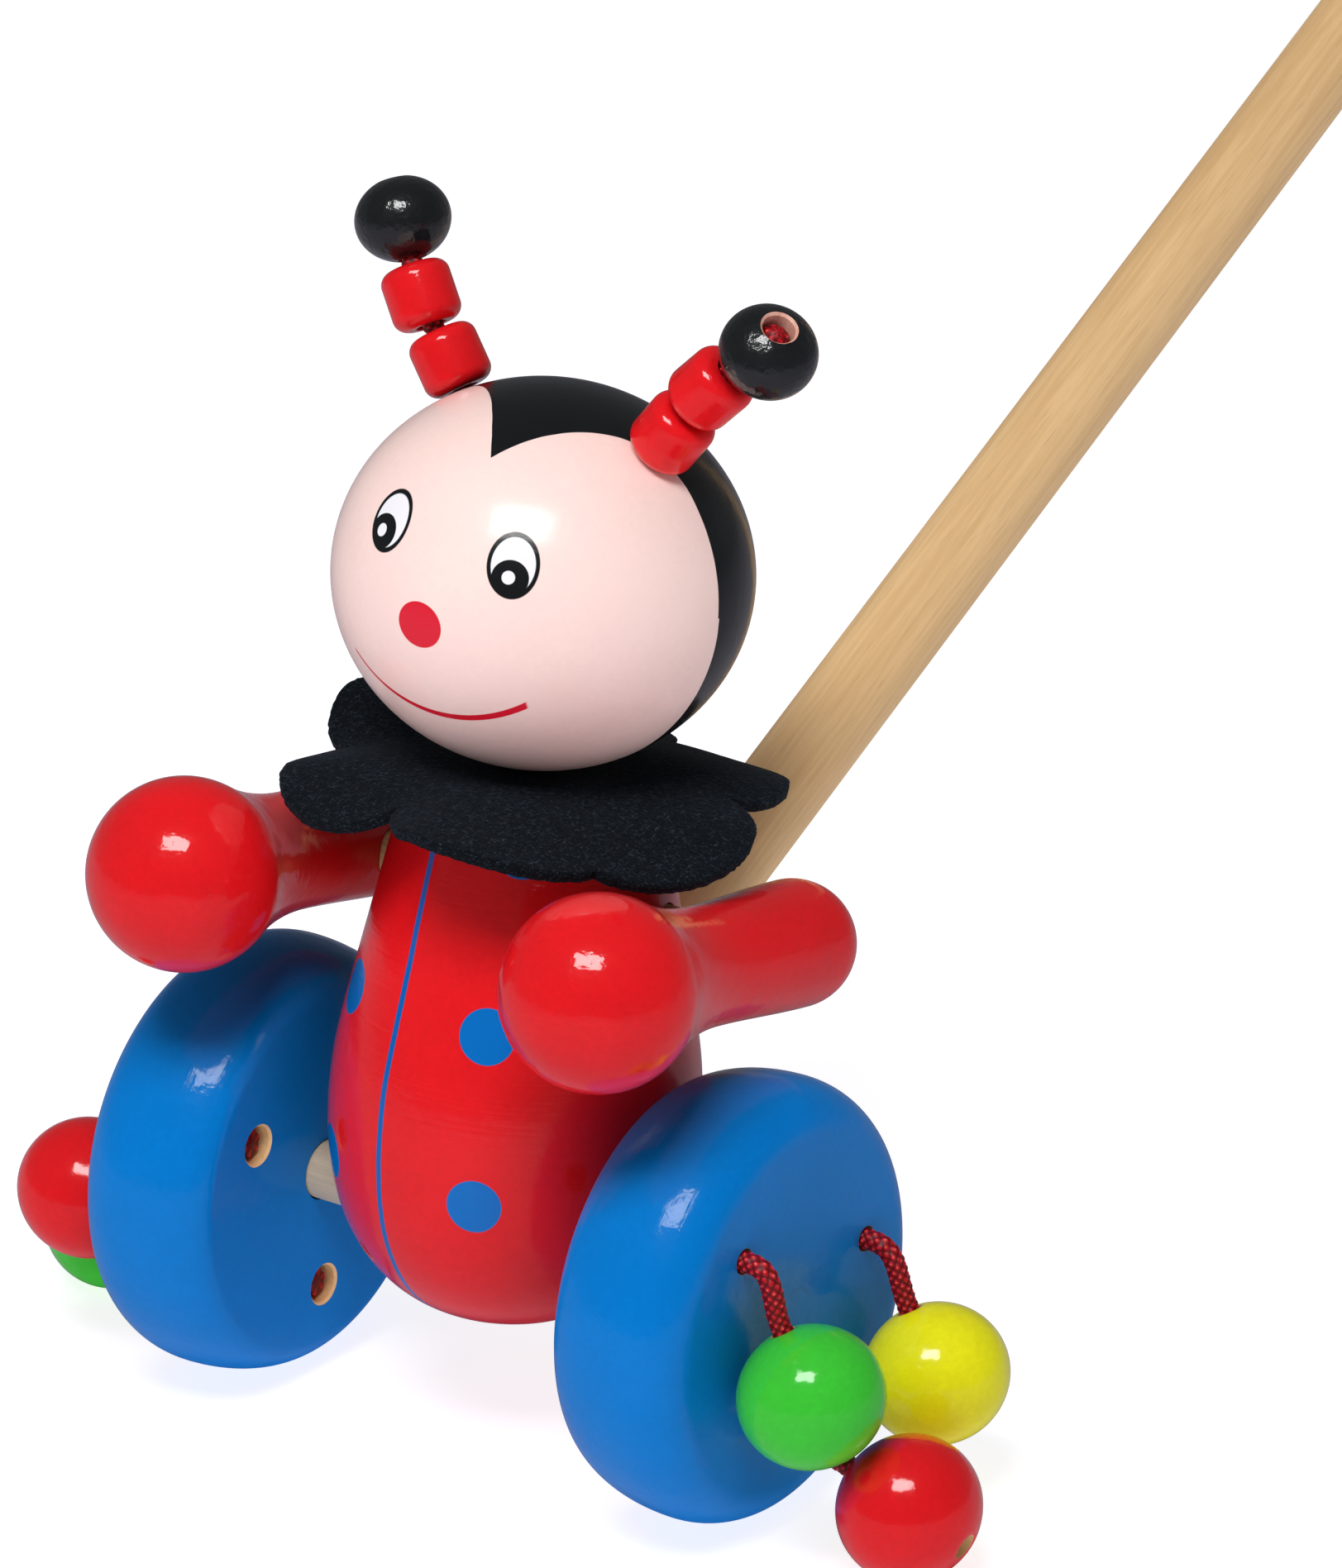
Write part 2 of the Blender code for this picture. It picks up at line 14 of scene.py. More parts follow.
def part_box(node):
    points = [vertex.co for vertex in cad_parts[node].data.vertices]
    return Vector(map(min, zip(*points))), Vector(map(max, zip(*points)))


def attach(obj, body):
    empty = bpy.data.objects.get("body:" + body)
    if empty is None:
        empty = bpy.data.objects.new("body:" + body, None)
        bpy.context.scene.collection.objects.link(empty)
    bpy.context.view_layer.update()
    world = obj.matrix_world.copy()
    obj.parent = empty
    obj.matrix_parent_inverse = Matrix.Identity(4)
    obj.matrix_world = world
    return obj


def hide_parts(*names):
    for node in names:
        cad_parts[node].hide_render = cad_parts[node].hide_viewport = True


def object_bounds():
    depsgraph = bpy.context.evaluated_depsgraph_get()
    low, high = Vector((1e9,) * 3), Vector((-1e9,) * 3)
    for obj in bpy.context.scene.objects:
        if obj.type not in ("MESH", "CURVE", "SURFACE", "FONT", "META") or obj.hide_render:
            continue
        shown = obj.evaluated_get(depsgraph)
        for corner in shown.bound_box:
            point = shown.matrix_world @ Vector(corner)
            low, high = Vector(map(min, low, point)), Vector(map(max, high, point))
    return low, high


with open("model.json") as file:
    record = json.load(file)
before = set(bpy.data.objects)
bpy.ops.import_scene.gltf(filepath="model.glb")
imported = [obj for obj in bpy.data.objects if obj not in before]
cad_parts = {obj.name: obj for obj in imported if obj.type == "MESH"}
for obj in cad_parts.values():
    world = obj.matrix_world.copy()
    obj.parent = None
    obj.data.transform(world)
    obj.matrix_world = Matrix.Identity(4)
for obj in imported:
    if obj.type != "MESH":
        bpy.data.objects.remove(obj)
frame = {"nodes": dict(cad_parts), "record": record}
CAD_BOUNDS = [list(corner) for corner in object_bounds()]

MM = 0.001
GAP = 0.3 * MM
CUT_PAST = 15.0 * MM

# The photograph's camera, round a point just above and beside the axle.
CAMERA_AZIMUTH = radians(34.73)
CAMERA_ELEVATION = radians(22.97)
CAMERA_DISTANCE = 1412.25 * MM
CAMERA_LENS = 230.19
TARGET_RIGHT = 29.2 * MM
TARGET_UP = 71.89 * MM

# The same driving dimensions as the CAD parts have, but for three closer fits to the photograph:
# WRIST_FILLET (56 mm, 14 mm in CAD), KNOT_X (36.2, 38.6) and the barrels (5.1 and 2.3, 5.2 and 2.0).
BODY_LEAN = radians(6.82)
BODY_OFFSET = 4.0 * MM
BELLY_RADIUS = 30.7 * MM
BELLY_HEIGHT = 20.0 * MM
BODY_BOTTOM = -17.0 * MM
BODY_TOP = 76.2 * MM
BOTTOM_POWER = 2.35
SHOULDER_SLOPE = 0.206
SHOULDER_START = 26.7 * MM
SHOULDER_EASE = 3.0 * MM
BODY_EDGE = 3.0 * MM
NECK_BORE_BOTTOM = 64.7 * MM
HEAD_CENTRE = Vector((0.0, -1.9, 110.2)) * MM
HEAD_RADIUS = 34.3 * MM
HEAD_HALF_HEIGHT = 31.6 * MM
HEAD_FLAT = 79.1 * MM
NECK_BORE_IN_HEAD = 14.0 * MM
COLLAR_HEIGHT = 77.65 * MM
COLLAR_THICKNESS = 2.0 * MM
COLLAR_HOLE = 4.6 * MM
COLLAR_FLAT = 17.5 * MM
COLLAR_FRAY = 0.3 * MM
PETAL_TIP = 42.0 * MM
CUSPS = (  # the cusps between the six petals: degrees round from the front, radius in mm
    (-72.0, 30.0),
    (-10.0, 29.5),
    (50.0, 37.5),
    (110.0, 31.5),
    (170.0, 30.0),
    (228.0, 31.0),
)
RIPPLES = (  # the felt's height at the tips' radius: degrees round from the front, height in mm
    (-72.0, 71.5),
    (-52.0, 73.8),
    (-17.0, 69.5),
    (8.0, 74.8),
    (62.0, 68.4),
    (104.0, 72.6),
    (129.0, 74.2),
    (165.0, 71.5),
    (205.0, 74.5),
    (262.0, 80.5),
)
ARM_X = 41.0 * MM
ARM_SLOPE = radians(11.8)
HAND_RADIUS = 16.0 * MM
WRIST_RADIUS = 9.9 * MM
ELBOW_RADIUS = 10.6 * MM
WRIST_FILLET = 56.0 * MM
HAND_TO_SHOULDER = 44.2 * MM
ARM_LENGTH = 55.5 * MM
DOWEL_HOLE = 4.3 * MM
WHEEL_RADIUS = 37.3 * MM
WHEEL_INNER_X = 34.7 * MM
WHEEL_RING_X = 49.6 * MM
WHEEL_OUTER_X = 59.9 * MM
INNER_FACE_RADIUS = 30.6 * MM
OUTER_FACE_RADIUS = 29.6 * MM
AXLE_HOLE = 5.3 * MM
AXLE_HOLE_END = 54.3 * MM
AXLE_RUNNING_HOLE = 5.6 * MM
HOLE_RADIUS = 2.2 * MM
KNOT_BORE_RADIUS = 3.3 * MM
KNOT_BORE_DEPTH = 9.0 * MM
CORD_RADIUS = 1.8 * MM
BEAD_RADIUS = 12.2 * MM
BEAD_HALF_HEIGHT = 11.65 * MM
BEAD_HOLE = 2.15 * MM
KNOT_RADIUS = 2.8 * MM
KNOT_X = 36.2 * MM
CORD_STOP = 4.0 * MM
BRAID_PITCH = 1.55 * MM
BRAID_STRANDS = 6
BARREL_RADIUS = 5.8 * MM
BARREL_HALF_HEIGHT = 5.1 * MM
BARREL_EDGE = 2.3 * MM
BARREL_HOLE = 2.4 * MM
BALL_RADIUS = 7.95 * MM
BALL_HALF_HEIGHT = 7.0 * MM
BALL_HOLE = 2.4 * MM
BALL_MOUTH = 2.7 * MM
BALL_MOUTH_WAYS = {"left": (-0.47, 0.27, 0.84), "right": (0.508, -0.276, 0.816)}
STICK_RADIUS = 7.5 * MM
STICK_HEIGHT = 8.9 * MM
STICK_SLOPE = radians(24.97)
STICK_START = 7.6 * MM
STICK_SHORT = 9.0 * MM
KNOB_RADIUS = 17.0 * MM
KNOB_CENTRE_BACK = 15.5 * MM
BEADS = (  # side, colour, and the way the cord runs into the bead, for X pointing outwards
    ("right", "yellow", (0.47, 0.0, -0.88)),
    ("right", "green", (0.485, 0.0, -0.875)),
    ("right", "red", (0.944, 0.0, -0.33)),
    ("left", "red", (0.45, 0.1, -0.88)),
    ("left", "green", (0.92, 0.34, -0.2)),
    ("left", "yellow", (0.46, 0.2, -0.86)),
)

RED = (0.73, 0.008, 0.012, 1.0)
BLUE = (0.0, 0.185, 0.59, 1.0)
LINE_BLUE = (0.0, 0.11, 0.42, 1.0)
DOT_BLUE = (0.0, 0.145, 0.50, 1.0)
GREEN = (0.045, 0.56, 0.035, 1.0)
YELLOW = (0.86, 0.82, 0.008, 1.0)
BLACK = (0.006, 0.007, 0.008, 1.0)
SKIN = (0.95, 0.70, 0.65, 1.0)
WHITE = (0.86, 0.84, 0.88, 1.0)
NOSE_RED = (0.68, 0.010, 0.030, 1.0)
WOOD_LIGHT = (0.83, 0.55, 0.275, 1.0)
WOOD_DARK = (0.70, 0.435, 0.20, 1.0)
AXLE_WOOD_LIGHT = (0.60, 0.50, 0.37, 1.0)
AXLE_WOOD_DARK = (0.48, 0.39, 0.28, 1.0)
MOUTH_WOOD_LIGHT = (0.78, 0.47, 0.38, 1.0)
MOUTH_WOOD_DARK = (0.62, 0.30, 0.22, 1.0)
# The cord's gap colour is painted shade for the braid's low gaps, and its glint colour is a painted
# highlight.
CORD_GAP_SHADE = (0.12, 0.001, 0.004, 1.0)
CORD_RED = (0.46, 0.003, 0.010, 1.0)
CORD_HIGHLIGHT = (0.92, 0.10, 0.09, 1.0)
FELT = (0.0028, 0.0042, 0.006, 1.0)
# The felt's pale fleck colour is a painted highlight.
FELT_HIGHLIGHT_FLECK = (0.026, 0.038, 0.052, 1.0)
PAINTS = {"red": RED, "green": GREEN, "yellow": YELLOW}


def middle(node):
    low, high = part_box(node)
    return (Vector(low) + Vector(high)) / 2


AXLE = middle("axle")
BODY_MATRIX = (
    Matrix.Translation(AXLE + Vector((0.0, BODY_OFFSET, 0.0))) @ Matrix.Rotation(-BODY_LEAN, 4, "X")
)
JOINTS = {joint["name"]: joint for joint in frame["record"]["behaviour"]["joints"]}
HOLES = {name: Vector(joint["pos_m"]) for name, joint in JOINTS.items() if name.startswith("bead_hang")}


def make_camera():
    right = Vector((cos(CAMERA_AZIMUTH), sin(CAMERA_AZIMUTH), 0.0))
    level = Vector((sin(CAMERA_AZIMUTH), -cos(CAMERA_AZIMUTH), 0.0))
    back = level * cos(CAMERA_ELEVATION) + Vector((0.0, 0.0, sin(CAMERA_ELEVATION)))
    up = back.cross(right)
    place = AXLE + right * TARGET_RIGHT + up * TARGET_UP + back * CAMERA_DISTANCE
    data = bpy.data.cameras.new("camera")
    data.sensor_fit = "HORIZONTAL"
    data.sensor_width = 36.0
    data.lens = CAMERA_LENS
    data.clip_start = 0.05
    data.clip_end = 20.0
    camera = bpy.data.objects.new("camera", data)
    bpy.context.scene.collection.objects.link(camera)
    camera.matrix_world = Matrix.Translation(place) @ Matrix((right, up, back)).transposed().to_4x4()
    bpy.context.scene.camera = camera


# ---------------------------------------------------------------- materials


class Paint:
    """A material, with short calls for the nodes that drive it. Places are in the piece's own metres."""

    def __init__(self, name):
        self.material = bpy.data.materials.new(name)
        self.material.use_nodes = True
        self.nodes = self.material.node_tree.nodes
        self.links = self.material.node_tree.links
        self.shader = self.nodes["Principled BSDF"]
        self.place = self.nodes.new("ShaderNodeTexCoord").outputs["Object"]

    def put(self, value, socket):
        if isinstance(value, bpy.types.NodeSocket):
            self.links.new(value, socket)
        else:
            socket.default_value = value

    def set(self, **values):
        for name, value in values.items():
            self.put(value, self.shader.inputs[name.replace("_", " ")])

    def math(self, operation, *values):
        node = self.nodes.new("ShaderNodeMath")
        node.operation = operation
        for value, socket in zip(values, node.inputs):
            self.put(value, socket)
        return node.outputs[0]

    def vector(self, operation, *values):
        node = self.nodes.new("ShaderNodeVectorMath")
        node.operation = operation
        for value, socket in zip(values, node.inputs):
            self.put(value, socket)
        return node.outputs["Value" if operation in ("LENGTH", "DISTANCE") else "Vector"]

    def along(self, x, y, angle):
        """How far a place lies in the direction that is turned by that angle from x towards y."""
        first = self.math("MULTIPLY", x, cos(angle))
        return self.math("ADD", first, self.math("MULTIPLY", y, sin(angle)))

    def axes(self, vector=None):
        node = self.nodes.new("ShaderNodeSeparateXYZ")
        self.put(vector or self.place, node.inputs[0])
        return node.outputs[0], node.outputs[1], node.outputs[2]

    def joined(self, x, y, z):
        node = self.nodes.new("ShaderNodeCombineXYZ")
        for value, socket in zip((x, y, z), node.inputs):
            self.put(value, socket)
        return node.outputs[0]

    def turned(self, vector, axis, angle):
        node = self.nodes.new("ShaderNodeVectorRotate")
        node.rotation_type = axis + "_AXIS"
        self.put(vector, node.inputs["Vector"])
        self.put(angle, node.inputs["Angle"])
        return node.outputs[0]

    def noise(self, scale, detail=2.0, roughness=0.5, vector=None):
        node = self.nodes.new("ShaderNodeTexNoise")
        self.put(vector or self.place, node.inputs["Vector"])
        self.put(scale, node.inputs["Scale"])
        self.put(detail, node.inputs["Detail"])
        self.put(roughness, node.inputs["Roughness"])
        return node.outputs[0]

    def cells(self, scale, vector=None):
        node = self.nodes.new("ShaderNodeTexVoronoi")
        self.put(vector or self.place, node.inputs["Vector"])
        self.put(scale, node.inputs["Scale"])
        return node.outputs["Distance"]

    def stretch(self, factors, vector=None):
        return self.vector("MULTIPLY", vector or self.place, factors)

    def ramp(self, value, low, high, start=0.0, end=1.0, smooth=True):
        node = self.nodes.new("ShaderNodeMapRange")
        node.interpolation_type = "SMOOTHSTEP" if smooth else "LINEAR"
        for item, socket in zip((value, low, high, start, end), node.inputs):
            self.put(item, socket)
        return node.outputs[0]

    def mix(self, factor, first, second):
        node = self.nodes.new("ShaderNodeMix")
        node.data_type = "RGBA"
        self.put(factor, node.inputs[0])
        self.put(first, node.inputs[6])
        self.put(second, node.inputs[7])
        return node.outputs[2]

    def bump(self, height, distance, strength=1.0, normal=None):
        node = self.nodes.new("ShaderNodeBump")
        node.inputs["Strength"].default_value = strength
        node.inputs["Distance"].default_value = distance
        self.put(height, node.inputs["Height"])
        if normal:
            self.put(normal, node.inputs["Normal"])
        return node.outputs[0]

    def below(self, distance, limit, edge=0.08 * MM):
        """1 where distance is under limit, with a soft edge."""
        return self.ramp(distance, limit - edge, limit + edge, 1.0, 0.0)


def shaded(colour, share):
    return (colour[0] * share, colour[1] * share, colour[2] * share, 1.0)


def lacquer_finish(paint, colour, peel=1.0, gloss=0.08, rings=1.0, coat=1.0):
    """A coat over turned wood: gloss is its roughness, peel its ripples and rings the lathe's marks."""
    dull = paint.ramp(paint.noise(90.0, 3.0), 0.35, 0.75, 0.34, 0.44)
    paint.set(Base_Color=colour, Roughness=dull, Specular_IOR_Level=0.03)
    paint.set(Coat_Weight=coat, Coat_IOR=1.42, Coat_Roughness=gloss)
    turning = paint.noise(1.0, 3.0, 0.6, paint.stretch((25.0, 25.0, 1500.0)))
    ripple = paint.noise(260.0, 3.0, 0.55)
    specks = paint.ramp(paint.cells(420.0), 0.0, 0.16, 1.0, 0.0)
    height = paint.math("MULTIPLY", turning, 0.30 * rings)
    height = paint.math("ADD", height, paint.math("MULTIPLY", ripple, peel))
    height = paint.math("ADD", height, paint.math("MULTIPLY", specks, 0.14 * peel))
    normal = paint.bump(height, 0.06 * MM)
    paint.set(Normal=normal, Coat_Normal=normal)


def toned(paint, colour, depth=0.08):
    """The colour with the small changes that hand-dipped paint has."""
    cloud = paint.math("MULTIPLY", paint.noise(45.0, 3.0), 0.6)
    cloud = paint.math("ADD", cloud, paint.math("MULTIPLY", paint.noise(800.0, 3.0, 0.6), 0.4))
    cloud = paint.ramp(cloud, 0.35, 0.65)
    return paint.mix(cloud, shaded(colour, 1.0 - depth), shaded(colour, 1.0 + depth / 2))


def lacquer(name, colour, peel=1.0, gloss=0.08, rings=1.0):
    paint = Paint(name)
    lacquer_finish(paint, toned(paint, colour), peel, gloss, rings)
    return paint.material


def black_lacquer(name):
    """Thick black paint that dried a little wrinkled, so its gloss breaks into specks."""
    paint = Paint(name)
    paint.set(Base_Color=toned(paint, BLACK, 0.2), Roughness=0.4, Specular_IOR_Level=0.1)
    paint.set(Coat_Weight=1.0, Coat_IOR=1.5, Coat_Roughness=0.12)
    grains = paint.math("MULTIPLY", paint.cells(900.0), 0.35)
    wrinkle = paint.math("ADD", paint.noise(520.0, 3.0, 0.65), grains)
    normal = paint.bump(wrinkle, 0.16 * MM)
    paint.set(Normal=normal, Coat_Normal=normal)
    return paint.material


def bare_wood(name, along=(1.0, 1.0, 0.06), light=WOOD_LIGHT, dark=WOOD_DARK):
    """Sanded, unvarnished beech: soft grain along the piece, short dark flecks and open pores."""
    paint = Paint(name)
    broad, fibre, fleck = (
        paint.noise(1.0, detail, 0.6, paint.stretch(tuple(scale * share for share in along)))
        for scale, detail in ((170.0, 3.0), (1100.0, 3.0), (2400.0, 2.0))
    )
    pores = paint.ramp(fleck, 0.60, 0.74)
    grain = paint.math("ADD", paint.math("MULTIPLY", broad, 0.5), paint.math("MULTIPLY", fibre, 0.5))
    colour = paint.mix(paint.ramp(grain, 0.34, 0.68), light, dark)
    colour = paint.mix(paint.math("MULTIPLY", pores, 0.28), colour, shaded(dark, 0.6))
    paint.set(Base_Color=colour, Roughness=0.55, Specular_IOR_Level=0.3)
    height = paint.math("SUBTRACT", grain, paint.math("MULTIPLY", pores, 0.5))
    paint.set(Normal=paint.bump(height, 0.05 * MM))
    return paint.material


def ellipse_at(paint, azimuth, elevation, centre, halves, tilt):
    """1 inside 1: the share of an ellipse's radius, for one painted on the head at those angles."""
    turned = paint.turned(paint.place, "Z", radians(-azimuth))
    turned = paint.turned(turned, "X", radians(elevation))
    x, y, z = paint.axes(turned)
    x = paint.math("SUBTRACT", x, centre[0] * MM)
    z = paint.math("SUBTRACT", z, centre[1] * MM)
    flat = paint.joined(
        paint.math("DIVIDE", paint.along(x, z, tilt), halves[0] * MM),
        paint.math("DIVIDE", paint.along(x, z, tilt + pi / 2), halves[1] * MM),
        0.0,
    )
    behind = paint.math("MULTIPLY", paint.math("GREATER_THAN", y, 0.0), 100.0)
    return paint.math("ADD", paint.vector("LENGTH", flat), behind)


def painted_eye(paint, colour, azimuth, elevation, tilt, gaze):
    """A black outline round a white oval, with a pupil low in it and a glint in the pupil."""
    outline = ellipse_at(paint, azimuth, elevation, (0.0, 0.0), (4.25, 5.35), tilt)
    pupil = ellipse_at(paint, azimuth, elevation, gaze, (3.05, 2.95), 0.0)
    glint = ellipse_at(paint, azimuth, elevation, (gaze[0] - 0.25, gaze[1] + 0.12), (1.08, 1.08), 0.0)
    colour = paint.mix(paint.below(outline, 1.0, 0.02), colour, BLACK)
    colour = paint.mix(paint.below(outline, 0.84, 0.02), colour, WHITE)
    inside = paint.below(outline, 0.95, 0.02)
    colour = paint.mix(paint.math("MULTIPLY", inside, paint.below(pupil, 1.0, 0.02)), colour, BLACK)
    return paint.mix(paint.below(glint, 1.0, 0.06), colour, WHITE)


def face_paint():
    """The skin, the black cap with its peak, two eyes, a round nose and one brushed smile."""
    paint = Paint("face_lacquer")
    wobble = paint.math("MULTIPLY", paint.math("SUBTRACT", paint.noise(120.0), 0.5), 0.5 * MM)
    x, y, z = paint.axes()
    colour = toned(paint, SKIN, 0.03)
    aside = paint.math("ABSOLUTE", paint.math("SUBTRACT", x, 3.5 * MM))
    swing = paint.math("MINIMUM", paint.math("MULTIPLY", aside, radians(3.7) / MM), pi / 2)
    edge = paint.math("SUBTRACT", paint.math("MULTIPLY", paint.math("SINE", swing), 21.6 * MM), 21.9 * MM)
    upper = paint.math("GREATER_THAN", z, 0.0)
    edge = paint.math("MULTIPLY", edge, upper)
    over = paint.math("ADD", paint.math("SUBTRACT", y, edge), wobble)
    cap = paint.ramp(over, -0.08 * MM, 0.08 * MM)
    colour = paint.mix(cap, colour, BLACK)
    colour = painted_eye(paint, colour, -17.3, 22.0, radians(7.0), (-0.9, -2.1))
    colour = painted_eye(paint, colour, 25.8, 17.3, 0.0, (-0.3, -2.1))
    nose = ellipse_at(paint, 0.5, -2.8, (0.0, 0.0), (4.1, 3.75), radians(-12.0))
    colour = paint.mix(paint.below(nose, 1.0, 0.02), colour, NOSE_RED)
    round_mouth = paint.math(
        "SQRT",
        paint.math(
            "ADD",
            paint.math("POWER", paint.math("SUBTRACT", x, 1.8 * MM), 2.0),
            paint.math("POWER", paint.math("SUBTRACT", z, 9.7 * MM), 2.0),
        ),
    )
    off_line = paint.math("ABSOLUTE", paint.math("SUBTRACT", round_mouth, 27.0 * MM))
    width = paint.ramp(x, -17.0 * MM, 6.0 * MM, 0.22 * MM, 0.50 * MM)
    line = paint.ramp(paint.math("SUBTRACT", off_line, width), -0.06 * MM, 0.06 * MM, 1.0, 0.0)
    for low, high, start, end in ((-16.4, -15.8, 0.0, 1.0), (16.4, 16.9, 1.0, 0.0)):
        line = paint.math("MULTIPLY", line, paint.ramp(x, low * MM, high * MM, start, end))
    line = paint.math("MULTIPLY", line, paint.math("LESS_THAN", y, 0.0))
    line = paint.math("MULTIPLY", line, paint.math("LESS_THAN", z, 0.0))
    colour = paint.mix(line, colour, NOSE_RED)
    lacquer_finish(paint, colour, 1.0, 0.20, 0.8, 0.8)
    return paint.material


def body_paint():
    """Red, with a thin blue line down the front and the back, and pairs of blue dots beside it."""
    paint = Paint("body_lacquer")
    x, y = paint.axes()[:2]
    colour = toned(paint, RED)
    turn = radians(-10.3)
    wobble = paint.math("MULTIPLY", paint.math("SUBTRACT", paint.noise(60.0), 0.5), 0.7 * MM)
    aside = paint.math("ABSOLUTE", paint.math("ADD", paint.along(x, y, turn), wobble))
    colour = paint.mix(paint.below(aside, 0.58 * MM), colour, LINE_BLUE)
    for height, apart in ((11.4, 33.0), (39.8, 33.0), (69.6, 40.0)):
        for middle_turn in (-9.3, 170.7):
            for side in (-apart, apart):
                angle = radians(middle_turn + side)
                radius = body_radius(height * MM)
                dot = (radius * sin(angle), -radius * cos(angle), height * MM)
                far = paint.math("ADD", paint.vector("DISTANCE", paint.place, dot), wobble)
                colour = paint.mix(paint.below(far, 4.6 * MM), colour, DOT_BLUE)
    lacquer_finish(paint, colour, 1.6, 0.11, 2.6)
    return paint.material


def felt():
    """Matt black wool: crossing fibres, soft tufts, and pale flecks of painted highlight where fibres
    catch the light.
    """
    paint = Paint("black_felt")
    tuft = paint.noise(620.0, 3.0, 0.7)
    threads = paint.noise(1.0, 2.0, 0.6, paint.stretch((700.0, 3400.0, 2400.0)))
    crossing = paint.noise(1.0, 2.0, 0.6, paint.stretch((3400.0, 700.0, 2400.0)))
    fibre = paint.math("MAXIMUM", threads, crossing)
    # painted highlight: pale flecks on the fibres' crests
    flecks = paint.ramp(fibre, 0.56, 0.74)
    colour = paint.mix(flecks, FELT, FELT_HIGHLIGHT_FLECK)
    paint.set(Base_Color=colour, Roughness=0.95, Specular_IOR_Level=0.08)
    paint.set(Sheen_Weight=0.05, Sheen_Roughness=0.5, Sheen_Tint=(0.5, 0.65, 0.9, 1.0))
    height = paint.math("ADD", paint.math("MULTIPLY", fibre, 0.6), tuft)
    paint.set(Normal=paint.bump(height, 0.4 * MM))
    return paint.material


def braid():
    """Shiny braided cord: painted shade darkens its gaps, and a painted highlight brightens the strands'
    crests where their filaments catch the light.
    """
    paint = Paint("red_braid")
    weave = paint.nodes.new("ShaderNodeAttribute")
    weave.attribute_name = "strand_height"
    fine = paint.noise(2600.0, 3.0, 0.7)
    # painted shade: the low parts of the weave take the dark gap colour
    raised = paint.ramp(weave.outputs["Fac"], 0.2, 0.85)
    colour = paint.mix(raised, CORD_GAP_SHADE, CORD_RED)
    # painted highlight: the bright glint colour on the strands' crests
    highlight_crest = paint.ramp(weave.outputs["Fac"], 0.80, 0.98)
    glint = paint.math("MULTIPLY", highlight_crest, paint.ramp(paint.noise(900.0, 2.0), 0.42, 0.56))
    colour = paint.mix(glint, colour, CORD_HIGHLIGHT)
    paint.set(Base_Color=colour, Roughness=0.45, Specular_IOR_Level=0.3)
    paint.set(Normal=paint.bump(fine, 0.05 * MM))
    return paint.material


# ---------------------------------------------------------------- shapes


def arc(centre, radii, start, end, count):
    points = []
    for i in range(count + 1):
        angle = start + (end - start) * i / count
        points.append((centre[0] + radii[0] * cos(angle), centre[1] + radii[1] * sin(angle)))
    return points


def lathe(name, profile, steps=128, ring=False):
    """A mesh of revolution about Z from (radius, height) points that run down its outer side."""
    shape = bmesh.new()
    columns = []
    for radius, height in profile:
        if radius < 1e-7:
            columns.append([shape.verts.new((0.0, 0.0, height))] * steps)
            continue
        angles = (2 * pi * i / steps for i in range(steps))
        columns.append([shape.verts.new((radius * cos(a), radius * sin(a), height)) for a in angles])
    pairs = list(zip(columns, columns[1:]))
    if ring:
        pairs.append((columns[-1], columns[0]))
    for upper, lower in pairs:
        for i in range(steps):
            j = (i + 1) % steps
            corners = [upper[i], lower[i], lower[j], upper[j]]
            shape.faces.new(list(dict.fromkeys(corners)))
    bmesh.ops.recalc_face_normals(shape, faces=shape.faces)
    for face in shape.faces:
        face.smooth = True
    mesh = bpy.data.meshes.new(name)
    shape.to_mesh(mesh)
    shape.free()
    mesh.set_sharp_from_angle(angle=radians(40.0))
    return mesh


def show(name, mesh, matrix, material, body, slot, *nodes):
    """The mesh as a piece that stands for those CAD nodes and rides on that body."""
    obj = bpy.data.objects.new(name, mesh)
    bpy.context.scene.collection.objects.link(obj)
    obj.matrix_world = matrix
    if not mesh.materials:
        mesh.materials.append(material)
    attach(obj, body)
    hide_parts(*nodes)
    return obj


def aimed(place, direction):
    return Matrix.Translation(place) @ Vector(direction).to_track_quat("Z", "Y").to_matrix().to_4x4()


def carved(mesh, matrix, cutters):
    """The mesh with holes: cutters are (mesh, matrix) in the same space as the piece's matrix."""
    solid = bpy.data.objects.new("solid", mesh)
    bpy.context.scene.collection.objects.link(solid)
    solid.matrix_world = matrix
    tools = []
    for cutter, place in cutters:
        tool = bpy.data.objects.new("tool", cutter)
        bpy.context.scene.collection.objects.link(tool)
        tool.matrix_world = place
        boolean = solid.modifiers.new("Cut", "BOOLEAN")
        boolean.operation = "DIFFERENCE"
        boolean.solver = "EXACT"
        boolean.material_mode = "TRANSFER"
        boolean.object = tool
        tools.append(tool)
    bpy.context.view_layer.update()
    graph = bpy.context.evaluated_depsgraph_get()
    result = bpy.data.meshes.new_from_object(solid.evaluated_get(graph))
    for obj in [solid] + tools:
        bpy.data.objects.remove(obj, do_unlink=True)
    result.set_sharp_from_angle(angle=radians(40.0))
    return result


def cylinder(radius, low, high, steps=64):
    return lathe("cutter", [(0.0, high), (radius, high), (radius, low), (0.0, low)], steps)


def bead_profile(radius, half_height, hole, count, lip=0.35 * MM):
    """A flattened ball with a hole through it, softened where the hole meets the skin."""
    rim = hole + lip
    start = atan2(sqrt(1 - (rim / radius) ** 2), rim / radius)
    outer = arc((0.0, 0.0), (radius, half_height), start, -start, count)
    top = outer[0][1] - lip * 0.9
    below = [(hole + lip * 0.25, -top - lip * 0.6), (hole, -top)]
    above = [(hole, top), (hole + lip * 0.25, top + lip * 0.6)]
    return outer + below + above


def eased(height):
    return SHOULDER_EASE * log(1 + exp((height - SHOULDER_START) / SHOULDER_EASE))


